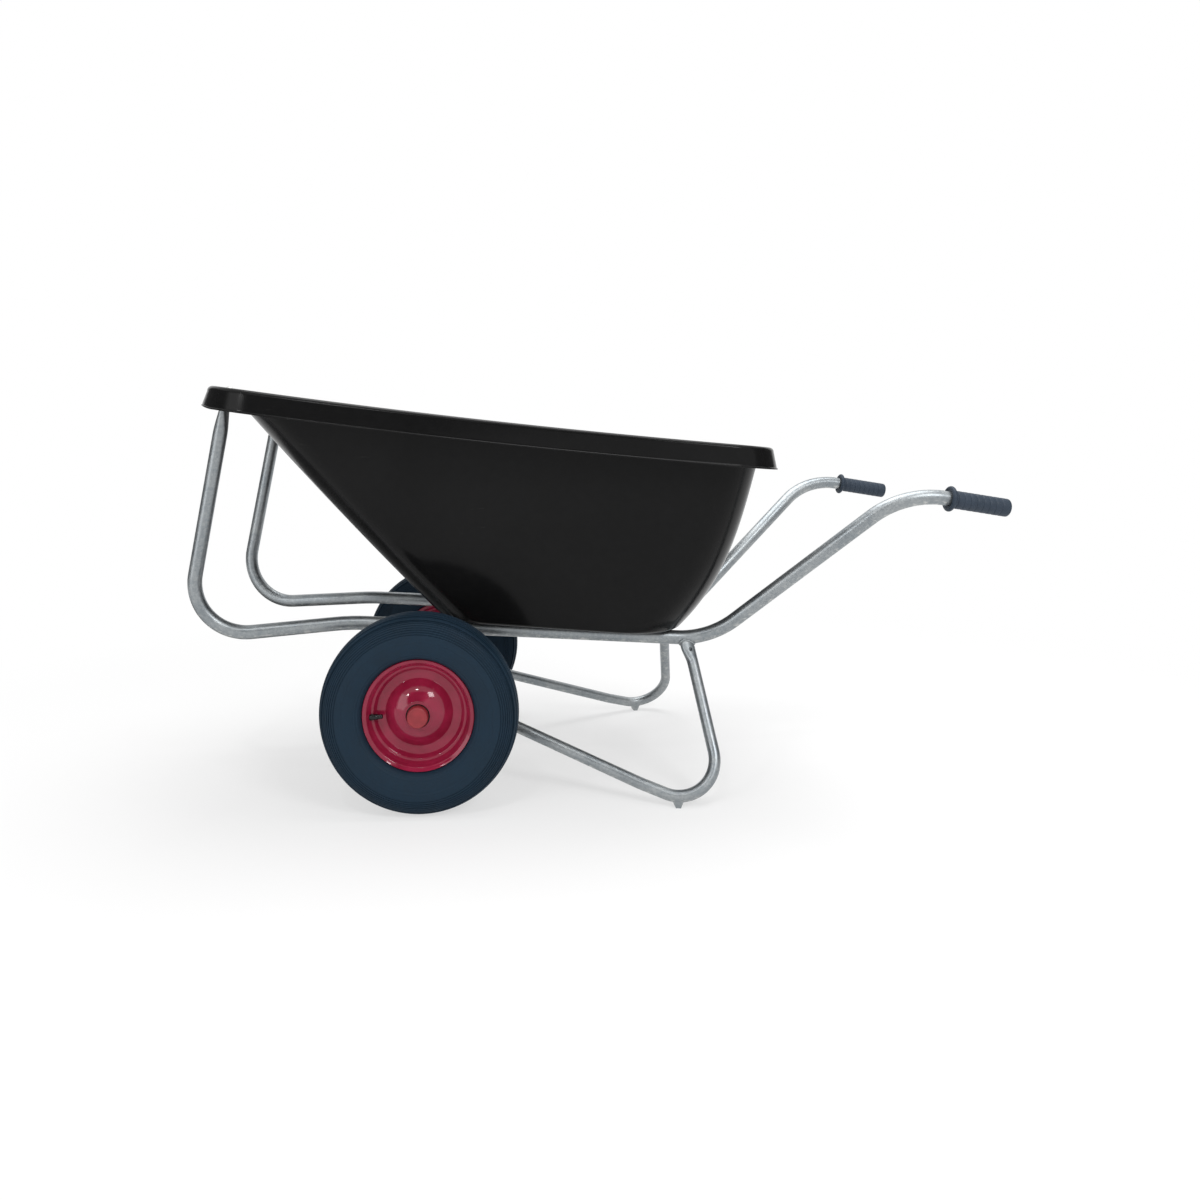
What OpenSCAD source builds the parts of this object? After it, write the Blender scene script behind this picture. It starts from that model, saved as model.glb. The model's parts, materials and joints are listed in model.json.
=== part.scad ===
// Two wheel garden wheelbarrow with a moulded tray on a bent tube frame.
// +X points to the handles, -X to the front, +Z up. The floor is at z = 0.
// Heights of the frame are taken from the axle, and lengths along X too.

/* [Wheels] */
// Outside diameter of the tyres
wheel_d = 400; // [380:1:420]
// Width of a tyre at its widest place
tyre_w = 100; // [92:1:108]
// Distance between the middle planes of the two wheels
track = 614; // [600:1:660]
// Radius of the tyre's shoulders
shoulder_r = 38; // [32:1:40]
// Radius of the tread across the tyre
crown_r = 92; // [80:1:140]
// Radius of the tyre's sidewalls
side_r = 96; // [80:1:130]
// Thickness of the rubber in the sidewalls
casing = 7; // [5:0.5:9]
// Thickness of the rubber under the tread
tread = 12; // [9:0.5:15]
// Depth of the grooves round the tread
groove_deep = 3.5; // [2:0.5:5]
// Width of the grooves round the tread
groove_w = 3.5; // [2:0.5:5]
// Height of a rim's flanges above its bead seat
flange_h = 12.5; // [10:0.5:15]
// Width of a rim over its flanges, without their flare
rim_w = 78; // [74:1:84]
// Outward flare of a rim's flanges
rim_flare = 4; // [2:0.5:6]
// Diameter of the bead seat of a rim
seat_d = 203; // [199:1:207]
// Depth of the rim's well below the bead seat
well_deep = 6; // [4:0.5:9]
// Outside diameter of the flat ring where the two rim halves meet
ring_d = 170; // [160:1:176]
// Inside diameter of that ring, where the cone starts
cone_d = 134; // [120:1:144]
// Thickness of the pressed rim sheet
sheet = 2.5; // [2:0.1:3]
// Outside diameter of the hub tube
hub_d = 54; // [52:1:58]
// Wall of the hub tube
hub_wall = 3; // [2.5:0.5:4]
// Length of the hub tube
hub_l = 66; // [62:1:70]
// Length of a bearing bush
bush_l = 14; // [10:1:18]
// Depth of a bearing bush inside the end of the hub
bush_set = 4; // [3:0.5:6]
// Diameter of the valve's rubber stem
valve_d = 12; // [9:0.5:12.5]
// Length of the valve that stands out of the rim
valve_l = 28; // [20:1:30]
// Distance of the valve from the middle plane of the wheel
valve_off = 15; // [13:0.5:18]

/* [Axle] */
// Diameter of the axle bar
axle_d = 20; // [18:1:22]
// Height of the rails' middle line above the axle, at the axle
axle_drop = 140; // [130:1:160]
// Diameter of an axle cap
cap_d = 43; // [42:0.5:45]
// Height of an axle cap
cap_h = 16; // [15:0.5:20]
// Wall of an axle cap
cap_wall = 2; // [1.5:0.5:2.5]
// Outside diameter of the spacer tubes on the axle
spacer_d = 27; // [25:1:30]
// Diameter of the axle washers
axle_washer_d = 36; // [30:1:38]
// Thickness of the axle washers
axle_washer_t = 2; // [1.5:0.5:2.5]
// Diameter of the split pins
pin_d = 4; // [3:0.5:4.5]
// Thickness of the hanger plates
hanger_t = 6; // [4:0.5:8]
// Length of a hanger plate along the rail
hanger_l = 100; // [80:1:130]
// Distance from the axle to the middle of a hanger plate's top
hanger_x = 64; // [40:1:80]
// Radius of a hanger plate round the axle
hanger_r = 28; // [24:1:34]

/* [Side tubes] */
// Outside diameter of the side tubes
tube_d = 30; // [27:0.5:33]
// Wall of the side tubes
tube_wall = 2; // [1.5:0.1:3]
// Distance between the middle lines of the two rails
rail_gap = 308; // [296:1:320]
// Fall of the rails toward the handles for each unit of length
rail_fall_share = 0.073; // [0.05:0.001:0.09]
// Distance from the axle to the bend at the front end of the rails
rail_front = 161; // [140:1:180]
// Distance from the axle to the bend at the rear end of the rails
rail_rear = 618; // [600:1:640]
// Distance from the axle to the lower front corners
nose_x = 507; // [495:1:520]
// Depth of the lower front corners below the rails at the axle
nose_drop = 3.5; // [0:0.5:10]
// Distance between the lower front corners
nose_gap = 408; // [390:1:430]
// Bend radius at the lower front corners
nose_r = 109; // [95:1:125]
// Bend radius at the front end of the rails
rail_front_r = 380; // [300:5:500]
// Bend radius at the rear end of the rails
rail_rear_r = 160; // [120:1:180]
// Distance from the axle to the handle bends
handle_x = 989; // [970:1:1010]
// Height of the handle bends above the rails at the axle
handle_rise = 274; // [250:1:290]
// Distance between the two handles
handle_gap = 604; // [580:1:640]
// Bend radius of the handle bends
handle_r = 165; // [140:1:200]
// Length along X from the handle bends to the ends of the grips
grip_run = 206; // [196:1:216]
// Fall from the handle bends to the ends of the grips
grip_fall = 38.5; // [25:0.5:45]
// Length of tube that is squeezed flat at each flat end
squeeze_l = 85; // [70:1:110]
// Thickness of a flat tube end
flat_t = 6; // [5:0.5:8]
// Distance from the front end of the lip to the top of the uprights
upright_set = 45.5; // [43:0.5:47]
// Distance from the side of the front rim to the top of the uprights
upright_in = 135; // [130:1:140]
// Length of a lip plate on top of an upright, across the tray
plate_l = 74; // [70:1:80]
// Width of a lip plate
plate_w = 20; // [18:0.5:22]
// Thickness of a lip plate
plate_t = 5; // [4:0.5:6]

/* [Grips] */
// Diameter of a grip over its ribs
grip_d = 36.5; // [36:0.5:40]
// Length of a grip with its flange
grip_l = 128; // [114:1:134]
// Diameter of the flange of a grip
grip_flange_d = 52; // [44:0.5:56]
// Thickness of the flange of a grip
grip_flange_t = 7; // [5:0.5:10]
// Thickness of the closed end of a grip
grip_end = 5; // [4:0.5:8]
// Depth of the grooves between the ribs
rib_deep = 0.8; // [0.5:0.1:1]
// Number of ribs on a grip
rib_count = 16; // [8:1:20]

/* [Legs] */
// Outside diameter of the leg tubes
leg_d = 25; // [22:0.5:27]
// Wall of the leg tubes
leg_wall = 2; // [1.5:0.1:3]
// Distance from the axle to the place where a leg meets its rail
leg_top_x = 570; // [560:1:580]
// Distance from the axle to the leg's lower corner
leg_x = 605; // [590:1:620]
// Distance between the lower corners of the two legs
leg_spread = 714; // [680:1:740]
// Bend radius of the legs
leg_r = 75; // [68:1:90]
// Height of the legs' lowest place above the floor
foot_h = 13; // [10:0.5:16]
// Length of a foot where it meets the leg
foot_l = 28; // [24:1:34]
// Length of a foot on the floor
foot_tip = 10; // [8:1:14]
// Width of a foot
foot_w = 20; // [14:1:24]
// Diameter of the vent hole near the top of each leg
vent_d = 8; // [5:0.5:10]
// Length of the flat end of a leg, from the axle to its start
eye_l = 50; // [45:1:70]

/* [Tray] */
// Wall of the tray
tray_wall = 5; // [4:0.5:6]
// Length of the tray over its rim
tray_l = 1188; // [1170:1:1205]
// Width of the tray over its rim at the rear
tray_w = 730; // [700:1:760]
// Width of the tray over its rim at the front
tray_front_w = 704; // [680:1:730]
// Distance from the axle to the front edge of the rim
tray_front = 443; // [438:1:450]
// Height of the rim above the rails at the axle, at the front
rim_front_rise = 533; // [520:1:550]
// Height of the rim above the rails at the axle, at the rear
rim_rear_rise = 368; // [350:1:380]
// Sag of the rim between its two ends
rim_sag = 10; // [0:0.5:14]
// Height of the rim's skirt
skirt_h = 44; // [38:1:50]
// Outward lean of the skirt over its height, at the front
draft_front = 12; // [8:0.5:14]
// Outward lean of the skirt over its height, at the rear
draft_rear = 7; // [4:0.5:10]
// Radius of the rolled edge of the rim, at the front
roll_front = 12; // [9:0.5:14]
// Radius of the rolled edge of the rim, at the rear
roll_rear = 8; // [6.5:0.5:10]
// Width of the lip at the front
lip_front = 51; // [50:0.5:56]
// Width of the lip along the sides
lip_side = 42; // [36:1:50]
// Width of the lip at the rear
lip_rear = 27.5; // [25:0.5:40]
// Radius of the inside edge of the lip
lip_r = 6; // [4:0.5:8]
// Corner radius of the rim at the front
rim_front_r = 130; // [90:1:160]
// Corner radius of the rim at the rear
rim_rear_r = 115; // [80:1:150]
// Distance from the axle to the front end of the tray's floor
floor_front = 32; // [26:1:40]
// Width of the tray's floor at the front, to the wall's line
floor_front_w = 372; // [350:1:390]
// Width of the tray's floor at the rear, to the wall's line
floor_rear_w = 470; // [440:1:480]
// Corner radius of the floor at the front
floor_front_r = 110; // [80:1:130]
// Corner radius of the floor at the rear
floor_rear_r = 130; // [90:1:150]
// Lean of the rear wall over its height
rear_lean = 80; // [70:1:95]
// Extra curve at the foot of the rear wall
rear_toe = 80; // [60:1:90]
// Size of the rounding between floor and walls
toe = 10; // [8:1:20]

/* [Fasteners] */
// Diameter of the bolts
bolt_d = 8; // [6:1:10]
// Diameter of the bolts' round heads
head_d = 17; // [16:0.5:18]
// Height of the bolts' round heads
head_h = 4; // [3:0.5:5]
// Width of the nuts across corners
nut_d = 15; // [14:0.5:18]
// Height of the nuts
nut_h = 6.5; // [5:0.5:8]
// Diameter of the washers
washer_d = 24; // [22:0.5:28]
// Diameter of the small washers under the lip plates
small_washer_d = 16; // [15.5:0.5:17.5]
// Thickness of the washers
washer_t = 2; // [1.5:0.5:2.5]
// Length of a cross strap along the rails
strap_w = 50; // [40:1:60]
// Thickness of the cross straps
strap_t = 6; // [4:0.5:8]
// Distance from the axle to the front cross strap
strap_front_x = 130; // [125:1:160]
// Distance from the axle to the rear cross strap
strap_rear_x = 400; // [380:1:430]
// Distance between the two tray bolts of a strap
strap_bolt_gap = 180; // [140:1:220]

/* [Hidden] */
$fn = 72;

// Clearance of a turning bush on the axle, on the radius
run_gap = 0.06;
// Clearance of a bolt, pin or valve in its hole, on the radius
slip_gap = 0.4;
// Clearance of a nut on its bolt, or a press fit, on the radius
fit_gap = 0.05;
// Gap between pieces that rest on each other
seat_gap = 0.2;
// Gap that a weld fills
weld_gap = 0.15;
// Gap between a tyre's beads and its rim
bead_gap = 0.6;
// Clearance of a tube in its grip, on the radius
grip_gap = 0.25;
// Overrun of every cut
over = 1;
// Swell of a tube in its bends, on the radius
bend_swell = 0.2;
// Step where a squeezed end starts, on the radius
squeeze_step = 0.25;
// Lap of a straight run into a bend or a squeezed end
joint_lap = 0.4;
// Side wall of the tyre above the rim flange
bead_lift = 4;
// Width of a tyre bead
bead_w = 14;
// Bevel of a tyre bead's heel
bead_heel = 3;
// Wall of the inner tube
tube_skin = 2.5;
// Length of a split pin
pin_l = 34;
// Space between the axle washer and the split pin
pin_set = 1;
// Wall thickness round the axle in the cap
cap_grip = 4;
// Radius of the cap's rounded edge
cap_round = 2.5;
// Diameter of the valve's metal end
valve_tip_d = 7.5;
// Length of the valve's metal end
valve_tip_l = 8;
// Distance from the inner end of a lip plate to its bolt
plate_margin = 14;
// Length of a flat tube end below its lip plate
flat_run = 6;
// Depth of a hanger plate's ends below the rail's middle line, as a share of the tube
hanger_share = 0.75;
// Width of a rib's groove on a grip, as a share of the rib's pitch
rib_groove_share = 0.35;
// Distance of the vent hole from the middle of the rail
vent_set = 34;
// Height of the foot above the middle of the leg's lowest place
foot_wrap = 4;
// Places of the tread grooves, as shares of half the tyre's width
groove_shares = [0.10, 0.32, 0.54, 0.72];
// Part of the wall's height that the floor rounding takes
toe_share = 0.02;
// Heights of the wall's sections, as shares
wall_shares = [0.1, 0.2, 0.32, 0.46, 0.62, 0.8, 1];
// Steepness of the extra curve at the foot of the rear wall
toe_power = 3.6;
// Direction test for the frame of a straight rod
upright_share = 0.9;
// Points of a corner, a side and half an end of the tray's outline
corner_n = 8;
side_n = 7;
end_n = 3;
// Points round a squeezed tube and sections along it
ring_n = 28;
squeeze_n = 7;
// Points of an arc in an outline
arc_n = 7;
// Where the flat top of a round head starts, in degrees round its dome
head_top_deg = 84;

// Vectors, bends and frames
function unit(v) = v / norm(v);
function lerp(a, b, t) = a + (b - a) * t;
function turn(a, b, c) = acos(unit(b - a) * unit(c - b));
function bend_cut(a, b, c, r) = r * tan(turn(a, b, c) / 2);
function bend_in(a, b, c, r) = b - unit(b - a) * bend_cut(a, b, c, r);
function bend_out(a, b, c, r) = b + unit(c - b) * bend_cut(a, b, c, r);
function bend_axis(a, b, c) = unit(cross(b - a, c - b));
function bend_mid(a, b, c, r) =
    bend_in(a, b, c, r) + r * cross(bend_axis(a, b, c), unit(b - a));
function basis(ex, ey, ez, o) = [
    [ex.x, ey.x, ez.x, o.x],
    [ex.y, ey.y, ez.y, o.y],
    [ex.z, ey.z, ez.z, o.z],
    [0, 0, 0, 1]];
function flat_side(ez) = abs(ez.y) < upright_share ? [0, 1, 0] : [1, 0, 0];
function arc(c, r, a0, a1, n = arc_n) =
    [for (i = [0:n]) c + r * [cos(lerp(a0, a1, i / n)), sin(lerp(a0, a1, i / n))]];
function smooth(t) = t * t * (3 - 2 * t);

// Sizes that follow from the ones above
axle_z = wheel_d / 2;
rim_d = seat_d + 2 * flange_h;
rail_z0 = axle_z + axle_drop;
rail_half = rail_gap / 2;
rail_tilt = atan(rail_fall_share);
function rail_z(x) = rail_z0 - rail_fall_share * x;

nose = [-nose_x, nose_gap / 2, rail_z0 - nose_drop];
rail_a = [-rail_front, rail_half, rail_z(-rail_front)];
rail_b = [rail_rear, rail_half, rail_z(rail_rear)];
handle_top = [handle_x, handle_gap / 2, rail_z0 + handle_rise];
grip_tip = handle_top + [grip_run, 0, -grip_fall];
grip_dir = unit(grip_tip - handle_top);
tube_end = grip_tip - grip_dir * grip_end;

// The tray's rim and floor, as heights over a place along X
rim_rear_x = tray_l - tray_front;
rim_front_z = rail_z0 + rim_front_rise;
rim_rear_z = rail_z0 + rim_rear_rise;
function rim_at(x) = (x + tray_front) / tray_l;
function rim_z(x) = lerp(rim_front_z, rim_rear_z, rim_at(x))
    - 4 * rim_sag * rim_at(x) * (1 - rim_at(x));
floor_lift = (tube_d / 2 + seat_gap) / cos(rail_tilt);
floor_skin = tray_wall / cos(rail_tilt);
function floor_z(x) = rail_z(x) + floor_lift;

// The flat top of a side tube and its plate under the lip
lip_in_x = -tray_front + lip_front;
lip_out_x = -tray_front + draft_front + roll_front;
lip_slope = (rim_z(lip_in_x) - rim_z(lip_out_x)) / (lip_in_x - lip_out_x);
lip_tilt = -atan(lip_slope);
function lip_under(x) = rim_z(lip_in_x) + lip_slope * (x - lip_in_x)
    - (tray_wall + seat_gap) / cos(lip_tilt);
plate_x = (lip_in_x + lip_out_x) / 2;
upright_x = -tray_front + upright_set;
upright_y = tray_front_w / 2 - upright_in;
upright_top = [upright_x, upright_y, lip_under(upright_x) - plate_t / cos(lip_tilt)];
up_dir = unit(upright_top - nose);
flat_w = (PI * tube_d - PI * flat_t) / 2 + flat_t;
plate_y = upright_y + flat_w / 2 - plate_l;
squeeze_end = upright_top - up_dir * flat_run;
squeeze_start = squeeze_end - up_dir * squeeze_l;

// The legs, with their lower corner set so that the bend clears the floor by foot_h
leg_top = [leg_top_x, rail_half, rail_z(leg_top_x)];
eye_y = rail_half - hanger_t / 2 - seat_gap - flat_t / 2;
eye = [0, eye_y, axle_z];
function leg_corner_at(z) = [leg_x, leg_spread / 2, z];
function stay_dir(c) = unit([eye.x - c.x, 0, eye.z - c.z]);
function stay_end(c) = eye - stay_dir(c) * eye_l;
function leg_low(c) = bend_mid(leg_top, c, stay_end(c), leg_r).z
    - leg_r * sqrt(1 - pow(bend_axis(leg_top, c, stay_end(c)).z, 2)) - leg_d / 2;
function settle(z, n) =
    n == 0 ? z : settle(z + foot_h - leg_low(leg_corner_at(z)), n - 1);
leg_corner = leg_corner_at(settle(0, 12));
leg_flat = stay_end(leg_corner);
leg_axis = bend_axis(leg_top, leg_corner, leg_flat);
leg_mid = bend_mid(leg_top, leg_corner, leg_flat, leg_r);
leg_down = unit([leg_axis.x * leg_axis.z, leg_axis.y * leg_axis.z, pow(leg_axis.z, 2) - 1]);
leg_lowest = leg_mid + leg_r * leg_down;
leg_run = cross(leg_axis, leg_down);
stay_axis = unit(leg_flat - leg_corner);
stay_round = leg_flat - stay_axis * squeeze_l;
eye_w = (PI * leg_d - PI * flat_t) / 2 + flat_t;

// The part is moved along X so that its origin lies below the middle of its box
nose_axis = bend_axis(squeeze_start, nose, rail_a);
front_end = bend_mid(squeeze_start, nose, rail_a, nose_r).x
    - nose_r * sqrt(1 - pow(nose_axis.x, 2)) - tube_d / 2 - bend_swell;
grip_round = grip_d / 8;
rear_end = grip_tip.x - grip_round * grip_dir.x
    - (grip_d / 2 - grip_round) * grip_dir.z + grip_round;
axle_x = -(front_end + rear_end) / 2;

module in_place() {
    translate([axle_x, 0, 0]) children();
}

module left_side() {
    in_place() mirror([0, 1, 0]) children();
}

module right_side() {
    in_place() children();
}

module both_sides() {
    left_side() children();
    right_side() children();
}

// A straight round bar from a to b
module rod(a, b, d) {
    ez = unit(b - a);
    ex = unit(cross(flat_side(ez), ez));
    multmatrix(basis(ex, cross(ez, ex), ez, a)) cylinder(d = d, h = norm(b - a));
}

// The bend of a round bar at corner b, on the way from a to c
module elbow(a, b, c, r, d) {
    mid = bend_mid(a, b, c, r);
    ex = unit(bend_in(a, b, c, r) - mid);
    ez = bend_axis(a, b, c);
    multmatrix(basis(ex, cross(ez, ex), ez, mid))
        rotate_extrude(angle = turn(a, b, c)) translate([r, 0]) circle(d = d);
}

// A bar along corner points, with a bend radius for each inner corner. The bends swell
// a little, and the straight runs lap into them.
module bent_bar(pts, radii, d) {
    last = len(pts) - 1;
    for (i = [0:last - 1]) {
        dir = unit(pts[i + 1] - pts[i]);
        a = i == 0 ? pts[0]
            : bend_out(pts[i - 1], pts[i], pts[i + 1], radii[i]) - dir * joint_lap;
        b = i == last - 1 ? pts[last]
            : bend_in(pts[i], pts[i + 1], pts[i + 2], radii[i + 1]) + dir * joint_lap;
        rod(a, b, d);
    }
    for (i = [1:last - 1])
        elbow(pts[i - 1], pts[i], pts[i + 1], radii[i], d + 2 * bend_swell);
}

// A bent tube, open at both ends
module bent_tube(pts, radii, d, wall) {
    last = len(pts) - 1;
    first_dir = unit(pts[1] - pts[0]);
    last_dir = unit(pts[last] - pts[last - 1]);
    bore = [for (i = [0:last]) i == 0 ? pts[0] - first_dir * over
        : i == last ? pts[last] + last_dir * over : pts[i]];
    difference() {
        bent_bar(pts, radii, d);
        bent_bar(bore, radii, d - 2 * wall);
    }
}

// Section of a tube on its way from round to flat, at share t
function squeeze_ring(r, w, thick, t) = [for (i = [0:ring_n - 1])
    let (a = (i + 1 / 2) * 360 / ring_n, s = cos(a) > 0 ? 1 : -1)
    lerp([r * cos(a), r * sin(a)],
        [s * (w - thick) / 2 + thick / 2 * cos(a), thick / 2 * sin(a)], smooth(t))];

// A tube end squeezed flat: round at a along da, flat at b along db, wide along side
module squeezed(a, da, b, db, side, d, w, thick) {
    reach = norm(b - a) / 3;
    rings = [for (k = [0:squeeze_n])
        let (t = k / squeeze_n, u = 1 - t,
            mid = u * u * u * a + 3 * u * u * t * (a + da * reach)
                + 3 * u * t * t * (b - db * reach) + t * t * t * b,
            dir = unit(lerp(da, db, smooth(t))),
            thin = unit(cross(side, dir)), wide = cross(dir, thin))
        [for (p = squeeze_ring(d / 2 - squeeze_step, w - 2 * fit_gap, thick - 2 * fit_gap, t))
            mid + wide * p.x + thin * p.y]];
    loft([for (k = [0:squeeze_n]) k == 0 ? [for (p = rings[k]) p - da * joint_lap]
        : k == squeeze_n ? [for (p = rings[k]) p + db * joint_lap] : rings[k]]);
}

// A closed solid through rings of as many points each, with its end faces fanned from start
module loft(rings, start = 0) {
    n = len(rings[0]);
    last = len(rings) - 1;
    polyhedron(
        points = [for (r = rings) for (p = r) p],
        faces = concat(
            [[for (i = [0:n - 1]) (n - 1 - i + start) % n]],
            [for (k = [0:last - 1]) for (i = [0:n - 1])
                [k * n + i, k * n + (i + 1) % n, (k + 1) * n + i]],
            [for (k = [0:last - 1]) for (i = [0:n - 1])
                [k * n + (i + 1) % n, (k + 1) * n + (i + 1) % n, (k + 1) * n + i]],
            [[for (i = [0:n - 1]) last * n + (i + start) % n]]),
        convexity = 8);
}

module ring_of(outer_d, inner_d, h) {
    difference() {
        cylinder(d = outer_d, h = h);
        translate([0, 0, -over]) cylinder(d = inner_d, h = h + 2 * over);
    }
}

// The section of a flat tube end
module flat_section(w, thick) {
    square([thick, w - thick], center = true);
    for (s = [-1, 1])
        translate([0, s * (w - thick) / 2]) circle(d = thick);
}

// A place on the lip's underside, turned with the lip
module under_lip(x, y) {
    translate([x, y, lip_under(x)]) rotate([0, lip_tilt, 0]) children();
}

// One side tube: flat top, upright, rail and handle
module side_tube() {
    pts = [squeeze_start, nose, rail_a, rail_b, handle_top, tube_end];
    radii = [0, nose_r, rail_front_r, rail_rear_r, handle_r, 0];
    across = [0, 1, 0];
    thin = unit(cross(across, up_dir));
    bent_tube(pts, radii, tube_d, tube_wall);
    squeezed(squeeze_start, up_dir, squeeze_end, up_dir, across, tube_d, flat_w, flat_t);
    difference() {
        multmatrix(basis(thin, cross(up_dir, thin), up_dir, squeeze_end))
            linear_extrude(2 * flat_run) flat_section(flat_w, flat_t);
        under_lip(upright_x, upright_y) translate([-flat_w, -flat_w, -plate_t - weld_gap])
            cube([2 * flat_w, 2 * flat_w, flat_w]);
    }
}

// The plate on top of an upright, bolted under the lip
module lip_plate() {
    difference() {
        under_lip(plate_x, plate_y) translate([-plate_w / 2, 0, -plate_t])
            cube([plate_w, plate_l, plate_t]);
        under_lip(plate_x, plate_y + plate_margin) translate([0, 0, -plate_t - over])
            cylinder(d = bolt_d + 2 * slip_gap, h = plate_t + 2 * over);
    }
}

// A grip with its flange, ribs and closed round end
module grip() {
    body_r = grip_d / 2;
    bore = tube_d + 2 * grip_gap;
    rib_run = grip_l - grip_flange_t - grip_round;
    pitch = rib_run / (rib_count + 1);
    ex = unit(cross([0, 1, 0], grip_dir));
    multmatrix(basis(ex, cross(grip_dir, ex), grip_dir, grip_tip - grip_dir * grip_l))
    difference() {
        rotate_extrude() difference() {
            union() {
                square([body_r, grip_l - grip_round]);
                square([body_r - grip_round, grip_l]);
                translate([body_r - grip_round, grip_l - grip_round]) circle(grip_round);
                polygon([[0, 0], [grip_flange_d / 2 - grip_round / 2, 0],
                    [grip_flange_d / 2, grip_flange_t / 3],
                    [grip_flange_d / 2, grip_flange_t * 2 / 3],
                    [body_r, grip_flange_t + grip_round], [0, grip_flange_t + grip_round]]);
            }
            for (i = [1:rib_count])
                translate([body_r - rib_deep, grip_flange_t + grip_round + (i - 1 / 2) * pitch])
                    square([over + rib_deep, pitch * rib_groove_share]);
        }
        translate([0, 0, -over]) cylinder(d = bore, h = grip_l - grip_end + seat_gap + over);
    }
}

// One leg: leg and stay in one tube, with a flat eye on the axle
module leg() {
    tab = [eye.x - leg_flat.x, 0, eye.z - leg_flat.z];
    run = norm(tab);
    dir = tab / run;
    side = cross([0, 1, 0], dir);
    difference() {
        union() {
            bent_tube([leg_top, leg_corner, stay_round], [0, leg_r, 0], leg_d, leg_wall);
            squeezed(stay_round, stay_axis, leg_flat, dir, side, leg_d, eye_w, flat_t);
            multmatrix(basis(dir, side, [0, -1, 0], leg_flat + [0, flat_t / 2, 0]))
            linear_extrude(flat_t) {
                translate([0, -eye_w / 2]) square([run, eye_w]);
                translate([run, 0]) circle(d = eye_w);
            }
        }
        bent_bar([rail_a, rail_b, handle_top], [0, rail_rear_r, 0], tube_d + 2 * weld_gap);
        translate([eye.x, eye.y - eye_w, eye.z]) rotate([-90, 0, 0])
            cylinder(d = axle_d + 2 * fit_gap, h = 2 * eye_w);
        vent = leg_top + unit(leg_corner - leg_top) * vent_set;
        translate(vent) rotate([-90, 0, 0]) cylinder(d = vent_d, h = leg_d);
    }
}

// The wedge under the bend of a leg
module foot() {
    difference() {
        translate([leg_lowest.x, leg_lowest.y, 0]) rotate([0, 0, atan2(leg_run.y, leg_run.x)])
            rotate([90, 0, 0]) translate([0, 0, -foot_w / 2]) linear_extrude(foot_w)
            polygon([[-foot_tip / 2, 0], [foot_tip / 2, 0],
                [foot_l / 2, leg_lowest.z - foot_wrap], [-foot_l / 2, leg_lowest.z - foot_wrap]]);
        bent_bar([leg_top, leg_corner, stay_round], [0, leg_r, 0], leg_d + 2 * weld_gap);
    }
}

// The plate that carries the axle under a rail
module hanger() {
    front = hanger_x - hanger_l / 2;
    rear = hanger_x + hanger_l / 2;
    difference() {
        translate([0, rail_half + hanger_t / 2, 0]) rotate([90, 0, 0]) linear_extrude(hanger_t)
        difference() {
            union() {
                translate([0, axle_z]) circle(hanger_r);
                polygon([[-hanger_r, axle_z], [hanger_r, axle_z],
                    [rear, rail_z(rear) - tube_d * hanger_share], [rear, rail_z(rear)],
                    [front, rail_z(front)], [front, rail_z(front) - tube_d * hanger_share]]);
            }
            translate([0, axle_z]) circle(d = axle_d + 2 * fit_gap);
        }
        rod(rail_a, rail_b, tube_d + 2 * weld_gap);
    }
}

// A place on the rails' middle plane, turned with the rails
module on_rails(x) {
    in_place() translate([x, 0, rail_z(x)]) rotate([0, rail_tilt, 0]) children();
}

// A flat bar between the rails, level with their top
module cross_strap(x) {
    half = rail_half - weld_gap - sqrt(pow(tube_d / 2, 2) - pow(tube_d / 2 - strap_t, 2));
    on_rails(x) difference() {
        translate([-strap_w / 2, -half, tube_d / 2 - strap_t]) cube([strap_w, 2 * half, strap_t]);
        for (s = [-1, 1])
            translate([0, s * strap_bolt_gap / 2, tube_d / 2 - strap_t - over])
                cylinder(d = bolt_d + 2 * slip_gap, h = strap_t + 2 * over);
    }
}

module at_tray_bolts() {
    for (x = [strap_front_x, strap_rear_x])
        on_rails(x) for (s = [-1, 1])
            translate([0, s * strap_bolt_gap / 2, 0]) children();
}

module at_lip_bolts() {
    both_sides() under_lip(plate_x, plate_y + plate_margin) children();
}

// A round headed bolt: the head sits at z = 0 and the shank goes down
module round_bolt(shank) {
    dome = (pow(head_d / 2, 2) + pow(head_h, 2)) / (2 * head_h);
    edge = acos(head_d / 2 / dome);
    crown = arc([0, head_h - dome], dome, edge, head_top_deg);
    rotate_extrude() polygon(concat([[0, 0]], crown, [[0, crown[arc_n].y]]));
    translate([0, 0, -shank]) cylinder(d = bolt_d, h = shank + head_h / 2);
}

module nut() {
    difference() {
        cylinder(d = nut_d, h = nut_h, $fn = 6);
        translate([0, 0, -over]) cylinder(d = bolt_d + 2 * fit_gap, h = nut_h + 2 * over);
    }
}

module washer(d = washer_d) {
    ring_of(d, bolt_d + 2 * slip_gap, washer_t);
}

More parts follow.
